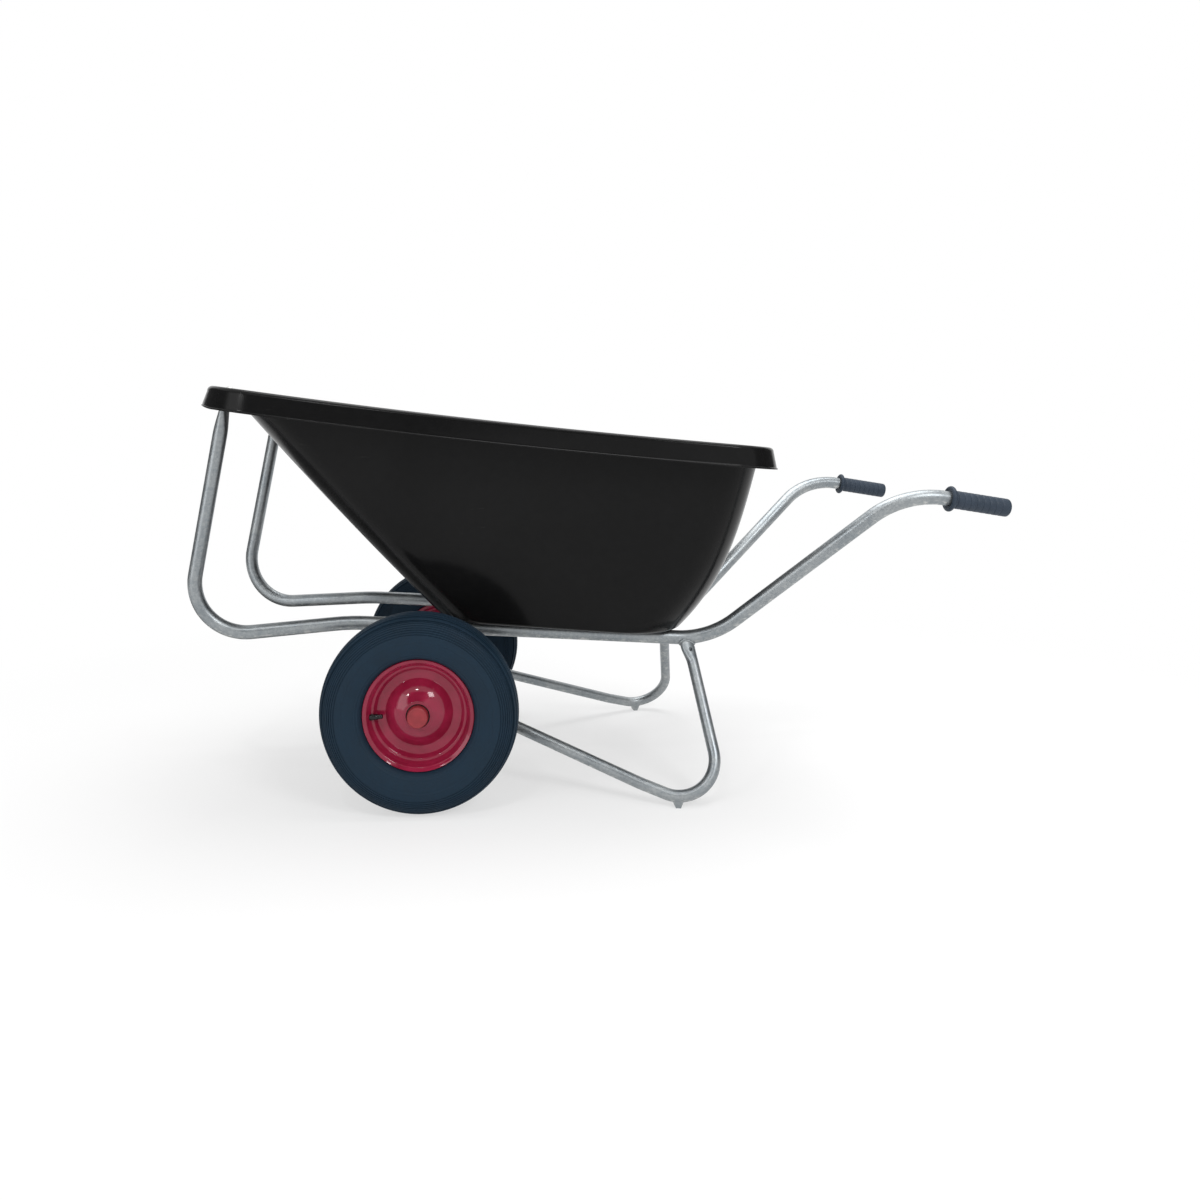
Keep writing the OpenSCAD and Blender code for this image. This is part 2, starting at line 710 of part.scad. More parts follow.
// Outline of the tray at one level, from its front middle round and back
function corner_front(xf, wf, r, tip) = [xf + r, wf - r * (1 - sin(tip)) / cos(tip)];
function corner_rear(xr, wr, r, tip) = [xr - r, wr - r * (1 + sin(tip)) / cos(tip)];
function half_outline(xf, xr, wf, wr, rf, rr) =
    let (tip = atan((wr - wf) / (xr - xf)),
        front = arc(corner_front(xf, wf, rf, tip), rf, 180, 90 + tip, corner_n),
        rear = arc(corner_rear(xr, wr, rr, tip), rr, 90 + tip, 0, corner_n))
    concat(
        [for (i = [0:end_n - 1]) [xf, front[0].y * i / end_n]],
        front,
        [for (i = [1:side_n - 1]) lerp(front[corner_n], rear[0], i / side_n)],
        rear,
        [for (i = [1:end_n]) [xr, rear[corner_n].y * (1 - i / end_n)]]);
function outline(xf, xr, wf, wr, rf, rr) =
    let (half = half_outline(xf, xr, wf, wr, rf, rr), n = len(half))
    concat(half, [for (i = [n - 2:-1:1]) [half[i].x, -half[i].y]]);

// Wall outline at height share t, drawn in by g
wall_top_x = rim_rear_x - lip_rear;
function wall_outline(t, g) = outline(
    lerp(floor_front, -tray_front + lip_front, t) + g * front_lean,
    wall_top_x - rear_lean * (1 - t) - rear_toe * pow(1 - t, toe_power) - g,
    lerp(floor_front_w, tray_front_w - 2 * lip_side, t) / 2 - g,
    lerp(floor_rear_w, tray_w - 2 * lip_side, t) / 2 - g,
    lerp(floor_front_r, rim_front_r - lip_side / 2, t) - g,
    lerp(floor_rear_r, rim_rear_r - lip_side / 2, t) - g);
front_rise = rim_z(lip_in_x) - tray_wall - floor_z(floor_front);
front_lean = norm([floor_front + tray_front - lip_front, front_rise]) / front_rise;
function outer_wall(t, g) = [for (p = wall_outline(t, g))
    [p.x, p.y, lerp(floor_z(p.x), rim_z(p.x) - tray_wall, t)]];
function inner_wall(t, g) = [for (p = wall_outline(t, g + tray_wall))
    [p.x, p.y, lerp(floor_z(p.x) + floor_skin, rim_z(p.x), t)]];

// Rim outline drawn in by g from the skirt's lower edge, dz below the rim. Both are pairs
// for the front and the rear.
function rim_ring(g, dz) = [for (p = outline(-tray_front + g[0], rim_rear_x - g[1],
        tray_front_w / 2 - g[0], tray_w / 2 - g[1], rim_front_r - g[0], rim_rear_r - g[1]))
    [p.x, p.y, rim_z(p.x) - lerp(dz[0], dz[1], rim_at(p.x))]];
drafts = [draft_front, draft_rear];
rolls = [roll_front, roll_rear];
function roll_ring(a, inset) = let (r = rolls - [inset, inset])
    rim_ring(drafts + rolls - r * cos(a), rolls - r * sin(a));

toe_steps = [0, 22, 44, 67, 90];
lip_step = lip_r / (rim_z(0) - floor_z(0));
tray_rings = concat(
    [for (a = toe_steps) outer_wall(toe_share * (1 - cos(a)), toe * (1 - sin(a)))],
    [for (t = wall_shares) outer_wall(t, 0)],
    [for (a = [90, 45, 0]) roll_ring(a, tray_wall)],
    [for (g = [tray_wall, 0]) rim_ring([g, g], [skirt_h, skirt_h])],
    [for (a = [0, 30, 60, 90]) roll_ring(a, 0)],
    [for (a = [90, 45, 0]) inner_wall(1 - lip_step * (1 - sin(a)), -lip_r * (1 - cos(a)))],
    [for (i = [len(wall_shares) - 2:-1:0]) inner_wall(wall_shares[i], 0)],
    [for (i = [len(toe_steps) - 1:-1:0])
        inner_wall(toe_share * (1 - cos(toe_steps[i])), toe * (1 - sin(toe_steps[i])))]);

module tray() {
    color([0.12, 0.12, 0.125]) difference() {
        in_place() loft(tray_rings, end_n + corner_n / 2);
        at_tray_bolts() translate([0, 0, tube_d / 2 - over])
            cylinder(d = bolt_d + 2 * slip_gap, h = tray_wall + 2 * over + seat_gap);
        at_lip_bolts() translate([0, 0, -over])
            cylinder(d = bolt_d + 2 * slip_gap, h = tray_wall + 3 * over);
    }
}

// Wheels lie with their axis along Z here, with the outer side up
module at_wheel() {
    translate([0, track / 2, axle_z]) rotate([-90, 0, 0]) children();
}

// Half outlines of the tyre: radius and distance from the middle plane
shoulder_a = tyre_w / 2 - shoulder_r;
crown_at = axle_z - crown_r;
shoulder_at = crown_at + sqrt(pow(crown_r - shoulder_r, 2) - pow(shoulder_a, 2));
crown_tip = atan(shoulder_a / (shoulder_at - crown_at));
side_at = tyre_w / 2 - side_r;
flange_a = rim_w / 2 - sheet - bead_gap;
bead_r = seat_d / 2 + bead_gap;
side_foot = rim_d / 2 + bead_lift;
side_tip = acos((side_foot - shoulder_at) / side_r);
outer_half = concat(
    arc([crown_at, 0], crown_r, 0, crown_tip),
    arc([shoulder_at, shoulder_a], shoulder_r, crown_tip, 90),
    arc([shoulder_at, side_at], side_r, 90, side_tip),
    [[rim_d / 2 - bead_lift, flange_a], [bead_r + bead_heel, flange_a],
        [bead_r, flange_a - bead_heel]]);
bead_tip = acos((bead_r + bead_w - shoulder_at) / (side_r - casing));
function cavity_half(g) = concat(
    arc([crown_at, 0], crown_r - tread - g, 0, crown_tip),
    arc([shoulder_at, shoulder_a], shoulder_r - casing - g, crown_tip + 20, 90),
    arc([shoulder_at, side_at], side_r - casing - g, 90, bead_tip));
bead_half = [[bead_r + bead_w / 2, flange_a - bead_w], [bead_r, flange_a - bead_w]];
function back_half(pts) = [for (i = [len(pts) - 1:-1:0]) [pts[i].x, -pts[i].y]];

module tyre() {
    inner = concat(cavity_half(0), bead_half);
    at_wheel() rotate_extrude() difference() {
        polygon(concat(
            back_half(outer_half), outer_half,
            [for (i = [len(inner) - 1:-1:0]) inner[i]],
            [for (p = inner) [p.x, -p.y]]));
        for (g = groove_shares) for (s = [-1, 1])
            translate([tread_at(g * tyre_w / 2) - groove_deep, s * g * tyre_w / 2 - groove_w / 2])
                square([axle_z, groove_w]);
    }
}
function tread_at(a) = a < crown_r * sin(crown_tip)
    ? crown_at + sqrt(pow(crown_r, 2) - pow(a, 2))
    : shoulder_at + sqrt(pow(shoulder_r, 2) - pow(a - shoulder_a, 2));

module inner_tube() {
    low = bead_r + tube_skin;
    neck = bead_r + bead_w / 2 + slip_gap;
    foot_a = flange_a - bead_w - slip_gap;
    out = concat(cavity_half(slip_gap), [[neck, foot_a], [low, foot_a]]);
    hollow = concat(cavity_half(slip_gap + tube_skin),
        [[neck + tube_skin, foot_a - tube_skin], [low + tube_skin, foot_a - tube_skin]]);
    at_wheel() rotate_extrude() difference() {
        polygon(concat(back_half(out), out));
        polygon(concat(back_half(hollow), hollow));
    }
}

// A pressed sheet along points of its middle line
function sheet_dir(p, i) = unit(p[min(i + 1, len(p) - 1)] - p[max(i - 1, 0)]);
function sheet_side(p, i) = [-sheet_dir(p, i).y, sheet_dir(p, i).x];
function sheet_grow(p, i) = i == 0 || i == len(p) - 1 ? 1
    : 1 / max(1 / 2, unit(p[i] - p[i - 1]) * sheet_dir(p, i));
function sheet_edge(p, d) =
    [for (i = [0:len(p) - 1]) p[i] + sheet_side(p, i) * d * sheet_grow(p, i)];
module sheet_section(p, t) {
    up = sheet_edge(p, t / 2);
    down = sheet_edge(p, -t / 2);
    polygon(concat(up, [for (i = [len(down) - 1:-1:0]) down[i]]));
}

// Rounded corner b between a and c
function rounded(a, b, c, r, n = 4) =
    let (da = unit(a - b), dc = unit(c - b), half = acos(da * dc) / 2,
        mid = b + unit(da + dc) * r / sin(half), cut = r / tan(half),
        p0 = b + da * cut - mid, p1 = b + dc * cut - mid)
    [for (i = [0:n]) mid + r * unit(lerp(p0, p1, i / n))];

// Middle line of one rim half, from flange to hub collar
press_r = 6;
meet = sheet / 2 + weld_gap / 2;
collar_r = hub_d / 2 + weld_gap + sheet / 2;
rim_seat = seat_d / 2 - sheet / 2;
rim_lip = rim_w / 2 - sheet / 2;
rim_corners = [
    [rim_d / 2, rim_lip + rim_flare],
    [rim_d / 2 - press_r, rim_lip],
    [rim_seat, rim_lip],
    [rim_seat, rim_lip - bead_w],
    [rim_seat - well_deep, rim_lip - bead_w - well_deep],
    [ring_d / 2 + press_r, meet + well_deep],
    [ring_d / 2, meet],
    [cone_d / 2, meet],
    [collar_r, hub_l / 2 - sheet],
    [collar_r, hub_l / 2]];
rim_bends = [0, press_r / 2, press_r * 2 / 3, press_r, press_r, press_r / 2, press_r / 2,
    2 * press_r, press_r / 4, 0];
rim_line = [for (i = [0:len(rim_corners) - 1])
    each (rim_bends[i] == 0 ? [rim_corners[i]]
        : rounded(rim_corners[i - 1], rim_corners[i], rim_corners[i + 1], rim_bends[i]))];

module rim_half() {
    rotate_extrude() sheet_section(rim_line, sheet);
}

module rim_outer() {
    at_wheel() difference() {
        rim_half();
        translate([-seat_d / 2 - over, 0, valve_off]) rotate([0, 90, 0])
            cylinder(d = valve_d + 2 * slip_gap, h = seat_d / 2 - ring_d / 2 + over);
    }
}

module rim_inner() {
    at_wheel() mirror([0, 0, 1]) rim_half();
}

module hub() {
    at_wheel() translate([0, 0, -hub_l / 2]) ring_of(hub_d, hub_d - 2 * hub_wall, hub_l);
}

module bearings() {
    at_wheel() for (s = [0, 1]) mirror([0, 0, s])
        translate([0, 0, hub_l / 2 - bush_set - bush_l]) difference() {
            ring_of(hub_d - 2 * hub_wall - 2 * fit_gap, axle_d + 2 * run_gap, bush_l);
            translate([0, 0, bush_l - bush_set / 2]) ring_of(
                hub_d - 2 * hub_wall - 2 * bush_set, axle_d + 2 * bush_set, bush_set);
        }
}

module valve() {
    root = seat_d / 2 + tube_skin;
    at_wheel() translate([-root, 0, valve_off]) rotate([0, 90, 0]) {
        cylinder(d = valve_d, h = root - rim_seat + valve_l - valve_tip_l);
        translate([0, 0, root - rim_seat + valve_l - valve_tip_l])
            cylinder(d = valve_tip_d, h = valve_tip_l);
    }
}

// Places along the axle, from the wheel's middle plane
bush_face = hub_l / 2 - bush_set;
washer_in = bush_face + seat_gap;
pin_at = washer_in + axle_washer_t + pin_set + pin_d / 2;
cap_start = hub_l / 2 - bush_set / 2;
axle_tip = cap_start + cap_h - cap_wall - seat_gap;
axle_half = track / 2 + axle_tip;

module axle_cap() {
    inner = cap_d / 2 - cap_wall;
    grip_at = pin_at + pin_d / 2 + pin_set - cap_start;
    at_wheel() translate([0, 0, cap_start]) difference() {
        rotate_extrude() {
            square([cap_d / 2, cap_h - cap_round]);
            square([cap_d / 2 - cap_round, cap_h]);
            translate([cap_d / 2 - cap_round, cap_h - cap_round]) circle(cap_round);
        }
        difference() {
            translate([0, 0, -over]) cylinder(r = inner, h = cap_h - cap_wall + over);
            translate([0, 0, grip_at]) cylinder(d = axle_d + 2 * cap_grip, h = cap_h);
        }
        translate([0, 0, -over]) cylinder(d = axle_d + 2 * fit_gap, h = cap_h - cap_wall + over);
    }
}

module split_pin() {
    at_wheel() translate([0, 0, pin_at]) rotate([90, 0, 0]) {
        translate([0, 0, -pin_l / 2]) cylinder(d = pin_d, h = pin_l);
        translate([0, 0, pin_l / 2 - pin_d]) cylinder(d = pin_d + pin_set, h = pin_d);
    }
}

module axle_washer(s) {
    at_wheel() mirror([0, 0, s]) translate([0, 0, washer_in])
        ring_of(axle_washer_d, axle_d + 2 * fit_gap, axle_washer_t);
}

module axle_spacer() {
    start = rail_half + hanger_t / 2 + seat_gap;
    length = track / 2 - washer_in - axle_washer_t - seat_gap - start;
    translate([0, start, axle_z]) rotate([-90, 0, 0])
        ring_of(spacer_d, axle_d + 2 * fit_gap, length);
}

galvanised = [0.66, 0.68, 0.7];
rim_red = [0.45, 0.08, 0.13];
rubber = [0.16, 0.19, 0.23];

module left_side_tube() { color(galvanised) left_side() side_tube(); }
module right_side_tube() { color(galvanised) right_side() side_tube(); }
module left_grip() { color(rubber) left_side() grip(); }
module right_grip() { color(rubber) right_side() grip(); }
module left_lip_plate() { color(galvanised) left_side() lip_plate(); }
module right_lip_plate() { color(galvanised) right_side() lip_plate(); }
module left_leg() { color(galvanised) left_side() leg(); }
module right_leg() { color(galvanised) right_side() leg(); }
module left_foot() { color(galvanised) left_side() foot(); }
module right_foot() { color(galvanised) right_side() foot(); }
module left_hanger() { color(galvanised) left_side() hanger(); }
module right_hanger() { color(galvanised) right_side() hanger(); }
module front_cross_strap() { color(galvanised) cross_strap(strap_front_x); }
module rear_cross_strap() { color(galvanised) cross_strap(strap_rear_x); }

module axle() {
    color(galvanised) difference() {
        in_place() translate([0, -axle_half, axle_z]) rotate([-90, 0, 0])
            cylinder(d = axle_d, h = 2 * axle_half);
        both_sides() at_wheel() translate([0, 0, pin_at]) rotate([90, 0, 0])
            translate([0, 0, -axle_d]) cylinder(d = pin_d + 2 * fit_gap, h = 2 * axle_d);
    }
}

module axle_sleeve() {
    half = eye_y - flat_t / 2 - seat_gap;
    color(galvanised) in_place() translate([0, -half, axle_z]) rotate([-90, 0, 0])
        ring_of(spacer_d, axle_d + 2 * fit_gap, 2 * half);
}

module left_axle_spacer() { color(galvanised) left_side() axle_spacer(); }
module right_axle_spacer() { color(galvanised) right_side() axle_spacer(); }
module axle_washers() { color(galvanised) both_sides() for (s = [0, 1]) axle_washer(s); }
module split_pins() { color(galvanised) both_sides() split_pin(); }
module left_axle_cap() { color(rim_red) left_side() axle_cap(); }
module right_axle_cap() { color(rim_red) right_side() axle_cap(); }
module left_tyre() { color(rubber) left_side() tyre(); }
module right_tyre() { color(rubber) right_side() tyre(); }
module left_inner_tube() { color(rubber) left_side() inner_tube(); }
module right_inner_tube() { color(rubber) right_side() inner_tube(); }
module left_rim_outer() { color(rim_red) left_side() rim_outer(); }
module right_rim_outer() { color(rim_red) right_side() rim_outer(); }
module left_rim_inner() { color(rim_red) left_side() rim_inner(); }
module right_rim_inner() { color(rim_red) right_side() rim_inner(); }
module left_hub() { color(rim_red) left_side() hub(); }
module right_hub() { color(rim_red) right_side() hub(); }
module left_bearings() { color(rubber) left_side() bearings(); }
module right_bearings() { color(rubber) right_side() bearings(); }
module left_valve() { color(rubber) left_side() valve(); }
module right_valve() { color(rubber) right_side() valve(); }

module tray_bolts() {
    shank = tray_wall + seat_gap + strap_t + 3 * washer_t + nut_h;
    color(galvanised) at_tray_bolts()
        translate([0, 0, tube_d / 2 + 3 * seat_gap + tray_wall + washer_t]) round_bolt(shank);
}

module tray_washers() {
    color(galvanised) at_tray_bolts() {
        translate([0, 0, tube_d / 2 + 2 * seat_gap + tray_wall]) washer();
        translate([0, 0, tube_d / 2 - strap_t - seat_gap - washer_t]) washer();
    }
}

module tray_nuts() {
    color(galvanised) at_tray_bolts()
        translate([0, 0, tube_d / 2 - strap_t - 2 * seat_gap - washer_t - nut_h]) nut();
}

module lip_bolts() {
    shank = tray_wall + seat_gap + plate_t + 2 * washer_t + nut_h;
    color(galvanised) at_lip_bolts() translate([0, 0, tray_wall + 2 * seat_gap]) round_bolt(shank);
}

module lip_washers() {
    color(galvanised) at_lip_bolts()
        translate([0, 0, -plate_t - seat_gap - washer_t]) washer(small_washer_d);
}

module lip_nuts() {
    color(galvanised) at_lip_bolts()
        translate([0, 0, -plate_t - 2 * seat_gap - washer_t - nut_h]) nut();
}

tray();
left_side_tube();
right_side_tube();
left_grip();
right_grip();
left_lip_plate();
right_lip_plate();
left_leg();
right_leg();
left_foot();
right_foot();
left_hanger();
right_hanger();
front_cross_strap();
rear_cross_strap();
axle();
axle_sleeve();
left_axle_spacer();
right_axle_spacer();
axle_washers();
split_pins();
left_axle_cap();
right_axle_cap();
left_tyre();
right_tyre();
left_inner_tube();
right_inner_tube();
left_rim_outer();
right_rim_outer();
left_rim_inner();
right_rim_inner();
left_hub();
right_hub();
left_bearings();
right_bearings();
left_valve();
right_valve();
tray_bolts();
tray_washers();
tray_nuts();
lip_bolts();
lip_washers();
lip_nuts();
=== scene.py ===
"""Looks of the two wheel wheelbarrow.

Shapes are worked out in millimetres for the right side (+Y), with X from the axle and Z
from the floor. Side -1 mirrors a piece to the left. Most sizes are those of the solids.
"""
import json
import math

import bmesh
import bpy
from mathutils import Matrix, Vector, noise

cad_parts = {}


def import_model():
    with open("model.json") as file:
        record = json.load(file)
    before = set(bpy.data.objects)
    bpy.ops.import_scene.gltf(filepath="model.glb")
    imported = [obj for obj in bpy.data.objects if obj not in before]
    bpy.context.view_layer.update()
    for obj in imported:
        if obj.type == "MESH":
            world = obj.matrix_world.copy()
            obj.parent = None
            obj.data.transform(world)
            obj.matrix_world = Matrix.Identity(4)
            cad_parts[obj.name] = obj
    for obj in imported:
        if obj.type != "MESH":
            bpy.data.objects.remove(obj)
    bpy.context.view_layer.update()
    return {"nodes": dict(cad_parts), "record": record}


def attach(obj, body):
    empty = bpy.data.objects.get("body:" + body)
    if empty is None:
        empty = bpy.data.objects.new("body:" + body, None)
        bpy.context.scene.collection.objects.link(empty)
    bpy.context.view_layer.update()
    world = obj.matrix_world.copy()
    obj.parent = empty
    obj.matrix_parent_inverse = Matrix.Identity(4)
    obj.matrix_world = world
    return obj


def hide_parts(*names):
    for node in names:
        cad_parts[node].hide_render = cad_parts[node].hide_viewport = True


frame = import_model()
NODES = frame["nodes"]
SIDES = ((1, "right"), (-1, "left"))


# The frame. AXLE_X is where the axle lies in the part's own frame
AXLE_X, AXLE_Z, TRACK = -350.943, 200.0, 614.0
TUBE_R, FLAT_T, SQUEEZE = 15.0, 6.0, 85.0
RAIL_Y, RAIL_Z, RAIL_FALL = 154.0, 340.0, 0.073
SEAT_GAP, WELD_GAP = 0.2, 0.15


def rail_z(x):
    return RAIL_Z - RAIL_FALL * x


NOSE = Vector((-507, 204, RAIL_Z - 3.5))
RAIL_A = Vector((-161, RAIL_Y, rail_z(-161)))
RAIL_B = Vector((618, RAIL_Y, rail_z(618)))
HANDLE = Vector((989, 302, RAIL_Z + 274))
GRIP_TIP = HANDLE + Vector((206, 0, -38.5))
GRIP_DIR = (GRIP_TIP - HANDLE).normalized()
UPRIGHT_TOP = Vector((-397.5, 217, 854.86))

# The tray
TRAY_L, TRAY_FRONT, WALL = 1188.0, 443.0, 5.0
RIM_REAR = TRAY_L - TRAY_FRONT
RIM_FRONT_Z, RIM_REAR_Z, RIM_SAG = RAIL_Z + 533, RAIL_Z + 368, 10.0
RIM_W, RIM_FRONT_W = 730.0, 704.0
SKIRT_H, SKIRT_FRONT = 44.0, 48.5
# Outward lean of the skirt and radius of the rolled edge, at the front and at the rear
EDGE_FRONT, EDGE_REAR = (12.0, 12.5), (7.0, 8.0)
NOSE_LIFT, NOSE_RUN = 4.5, 45.0
# The skirt's lower edge, from the inside: (distance in, height above the edge)
EDGE_LINE = ((5.0, 1.2), (3.8, 0), (0.8, 0), (0, 0.8), (0, 2.2), (0.4, 2.9), (1.9, 3.9), (2.3, 4.6),
             (2.4, 6.5))
# Heights of the wall's rings, as shares
WALL_SHARES = (0.05, 0.07, 0.09, 0.12, 0.15, 0.18, 0.22, 0.27, 0.32, 0.38, 0.44, 0.5, 0.56, 0.62,
               0.68, 0.74, 0.8, 0.86, 0.92, 0.97, 1)
LIP_FRONT, LIP_SIDE, LIP_REAR, LIP_R = 51.0, 42.0, 27.5, 6.0
RIM_FRONT_R, RIM_REAR_R = 130.0, 115.0
FLOOR_FRONT, FLOOR_FRONT_W, FLOOR_REAR_W = 32.0, 372.0, 470.0
FLOOR_FRONT_R, FLOOR_REAR_R = 110.0, 130.0
REAR_LEAN, REAR_TOE, TOE, TOE_SHARE, TOE_POWER = 80.0, 80.0, 10.0, 0.02, 3.6


def lerp(a, b, t):
    return a + (b - a) * t


def smooth(t):
    t = min(1.0, max(0.0, t))
    return t * t * (3 - 2 * t)


def unit(degrees):
    a = math.radians(degrees)
    return math.cos(a), math.sin(a)


def rim_at(x):
    return (x + TRAY_FRONT) / TRAY_L


def rim_z(x):
    t = rim_at(x)
    return lerp(RIM_FRONT_Z, RIM_REAR_Z, t) - 4 * RIM_SAG * t * (1 - t)


def floor_z(x):
    return rail_z(x) + (TUBE_R + SEAT_GAP) / math.cos(math.atan(RAIL_FALL))


def world(p, side=1):
    return Vector(((p[0] + AXLE_X) / 1000, side * p[1] / 1000, p[2] / 1000))


# ---------------------------------------------------------------- materials
class Look:
    """A procedural material: nodes are added by short calls, and out is the shader."""

    def __init__(self, name, **values):
        self.mat = bpy.data.materials.new(name)
        self.mat.use_nodes = True
        self.tree = self.mat.node_tree
        self.out = self.tree.nodes["Principled BSDF"]
        self.coord = self.node("ShaderNodeTexCoord").outputs["Object"]
        for key, value in values.items():
            self.out.inputs[key.replace("_", " ")].default_value = value

    def node(self, kind, settings=(), **inputs):
        made = self.tree.nodes.new(kind)
        for key, value in dict(settings).items():
            setattr(made, key, value)
        for key, value in inputs.items():
            self.put(value, made.inputs[key.replace("_", " ")])
        return made

    def put(self, value, socket):
        if isinstance(value, bpy.types.NodeSocket):
            self.tree.links.new(value, socket)
        else:
            socket.default_value = value

    def stretched(self, scale):
        return self.node("ShaderNodeMapping", Vector=self.coord, Scale=scale).outputs[0]

    def noise(self, scale, detail=4.0, rough=0.55, at=None, distortion=0.0):
        return self.node("ShaderNodeTexNoise", Vector=at or self.coord, Scale=scale, Detail=detail,
                         Roughness=rough, Distortion=distortion).outputs["Fac"]

    def cells(self, scale):
        """A grey value for each cell."""
        made = self.node("ShaderNodeTexVoronoi", Vector=self.coord, Scale=scale)
        return self.node("ShaderNodeRGBToBW", Color=made.outputs["Color"]).outputs[0]

    def span(self, value, low, high, to_low=0.0, to_high=1.0):
        return self.node("ShaderNodeMapRange", {"interpolation_type": "SMOOTHSTEP"}, Value=value,
                         From_Min=low, From_Max=high, To_Min=to_low, To_Max=to_high).outputs[0]

    def math(self, op, a, b):
        made = self.node("ShaderNodeMath", {"operation": op})
        self.put(a, made.inputs[0])
        self.put(b, made.inputs[1])
        return made.outputs[0]

    def add(self, a, b):
        return self.math("ADD", a, b)

    def part(self, value, share):
        return self.math("MULTIPLY", value, share)

    def mix(self, share, a, b):
        made = self.node("ShaderNodeMix", {"data_type": "RGBA"})
        self.put(share, made.inputs["Factor"])
        for value, socket in ((a, made.inputs[6]), (b, made.inputs[7])):
            self.put(value if isinstance(value, bpy.types.NodeSocket) else (*value, 1), socket)
        return made.outputs[2]

    def facing(self, axis):
        normal = self.node("ShaderNodeNewGeometry").outputs["Normal"]
        return self.node("ShaderNodeSeparateXYZ", Vector=normal).outputs[axis]

    def bumps(self, *layers):
        """Layers of (height, strength, depth in metres), the coarse one first."""
        below = None
        for height, strength, depth in layers:
            made = self.node("ShaderNodeBump", Strength=strength, Distance=depth, Height=height)
            if below is not None:
                self.put(below, made.inputs["Normal"])
            below = made.outputs[0]
        self.put(below, self.out.inputs["Normal"])

    def colour(self, value):
        self.put(value, self.out.inputs["Base Color"])

    def rough(self, value):
        self.put(value, self.out.inputs["Roughness"])


def galvanised():
    look = Look("galvanised_steel", Metallic=0.85)
    spangle, grain = look.cells(260.0), look.cells(620.0)
    cloud = look.noise(16.0, 5.0)
    streak = look.noise(60.0, 4.0, at=look.stretched((0.2, 1.0, 1.3)))
    tone = look.add(look.part(spangle, 0.20), look.add(look.part(grain, 0.14), look.part(cloud, 0.66)))
    base = look.mix(look.span(tone, 0.26, 0.74), (0.225, 0.250, 0.268), (0.385, 0.405, 0.412))
    dull = look.mix(look.span(streak, 0.50, 0.72, 0.0, 0.5), base, (0.235, 0.265, 0.285))
    # Zinc that ran to the underside while the frame drained
    under = look.span(look.facing("Z"), -0.2, -0.65)
    runs = look.span(look.noise(120.0, 3.0, at=look.stretched((0.6, 1.0, 1.0))), 0.52, 0.62)
    drip = look.part(under, runs)
    look.colour(look.mix(look.part(drip, 0.8), dull, (0.52, 0.53, 0.52)))
    look.rough(look.span(look.add(cloud, look.part(grain, 0.4)), 0.3, 0.95, 0.30, 0.45))
    look.bumps((cloud, 0.15, 0.002), (drip, 0.4, 0.001), (look.noise(640.0, 3.0), 0.07, 0.0004))
    return look.mat


def zinc():
    look = Look("fastener_steel", Metallic=0.9)
    cloud = look.noise(90.0, 4.0)
    look.colour(look.mix(cloud, (0.42, 0.43, 0.42), (0.63, 0.63, 0.60)))
    look.rough(look.span(cloud, 0.3, 0.7, 0.26, 0.42))
    look.bumps((look.noise(700.0, 2.0), 0.1, 0.0003))
    return look.mat


def moulded_black():
    look = Look("tray_plastic", Specular_IOR_Level=0.11)
    cloud = look.noise(3.2, 4.0, distortion=0.4)
    fine = look.noise(60.0, 4.0)
    tone = look.add(look.part(cloud, 0.7), look.part(fine, 0.3))
    base = look.mix(look.span(tone, 0.3, 0.7), (0.0052, 0.0052, 0.0053), (0.0078, 0.0078, 0.0080))
    scuff = look.noise(34.0, 6.0, 0.7, at=look.stretched((0.35, 1.0, 3.2)))
    marks = look.part(look.span(scuff, 0.63, 0.74), look.span(cloud, 0.45, 0.65))
    look.colour(look.mix(look.part(marks, 0.35), base, (0.03, 0.03, 0.03)))
    look.rough(look.add(look.span(tone, 0.3, 0.7, 0.15, 0.22), look.part(marks, 0.15)))
    look.bumps((look.noise(4.0, 2.0), 0.12, 0.006), (look.noise(420.0, 3.0), 0.06, 0.0004))
    return look.mat


def rubber(name, dark, light, scale=1.0, roughness=(0.55, 0.75), gloss=0.22):
    look = Look(name, Specular_IOR_Level=gloss)
    cloud = look.noise(14.0 * scale, 5.0)
    fine = look.noise(160.0 * scale, 3.0)
    tone = look.add(look.part(cloud, 0.65), look.part(fine, 0.35))
    dust = look.span(look.noise(42.0 * scale, 6.0, 0.7), 0.56, 0.74)
    base = look.mix(look.span(tone, 0.32, 0.68), dark, light)
    look.colour(look.mix(look.part(dust, 0.15), base, tuple(1.8 * c for c in light)))
    look.rough(look.span(tone, 0.3, 0.7, *roughness))
    look.bumps((look.noise(520.0, 3.0), 0.14, 0.0004))
    return look.mat


def red_paint():
    look = Look("rim_paint", Coat_Weight=0.5, Coat_Roughness=0.02, Specular_IOR_Level=0.2)
    cloud = look.noise(22.0, 4.0)
    base = look.mix(look.span(cloud, 0.3, 0.7), (0.225, 0.007, 0.031), (0.300, 0.013, 0.048))
    dust = look.span(look.noise(120.0, 6.0, 0.7), 0.58, 0.74)
    look.colour(look.mix(look.part(dust, 0.14), base, (0.30, 0.12, 0.12)))
    look.rough(look.span(look.add(cloud, look.part(dust, 0.5)), 0.3, 1.0, 0.10, 0.26))
    look.bumps((look.noise(30.0, 2.0), 0.03, 0.002), (look.noise(300.0, 2.0), 0.02, 0.0004))
    return look.mat


def red_plastic():
    look = Look("cap_plastic", Specular_IOR_Level=0.4)
    cloud = look.noise(60.0, 4.0)
    look.colour(look.mix(look.span(cloud, 0.3, 0.7), (0.250, 0.022, 0.030), (0.320, 0.030, 0.040)))
    look.rough(look.span(cloud, 0.3, 0.7, 0.40, 0.55))
    look.bumps((look.noise(600.0, 3.0), 0.08, 0.0003))
    return look.mat


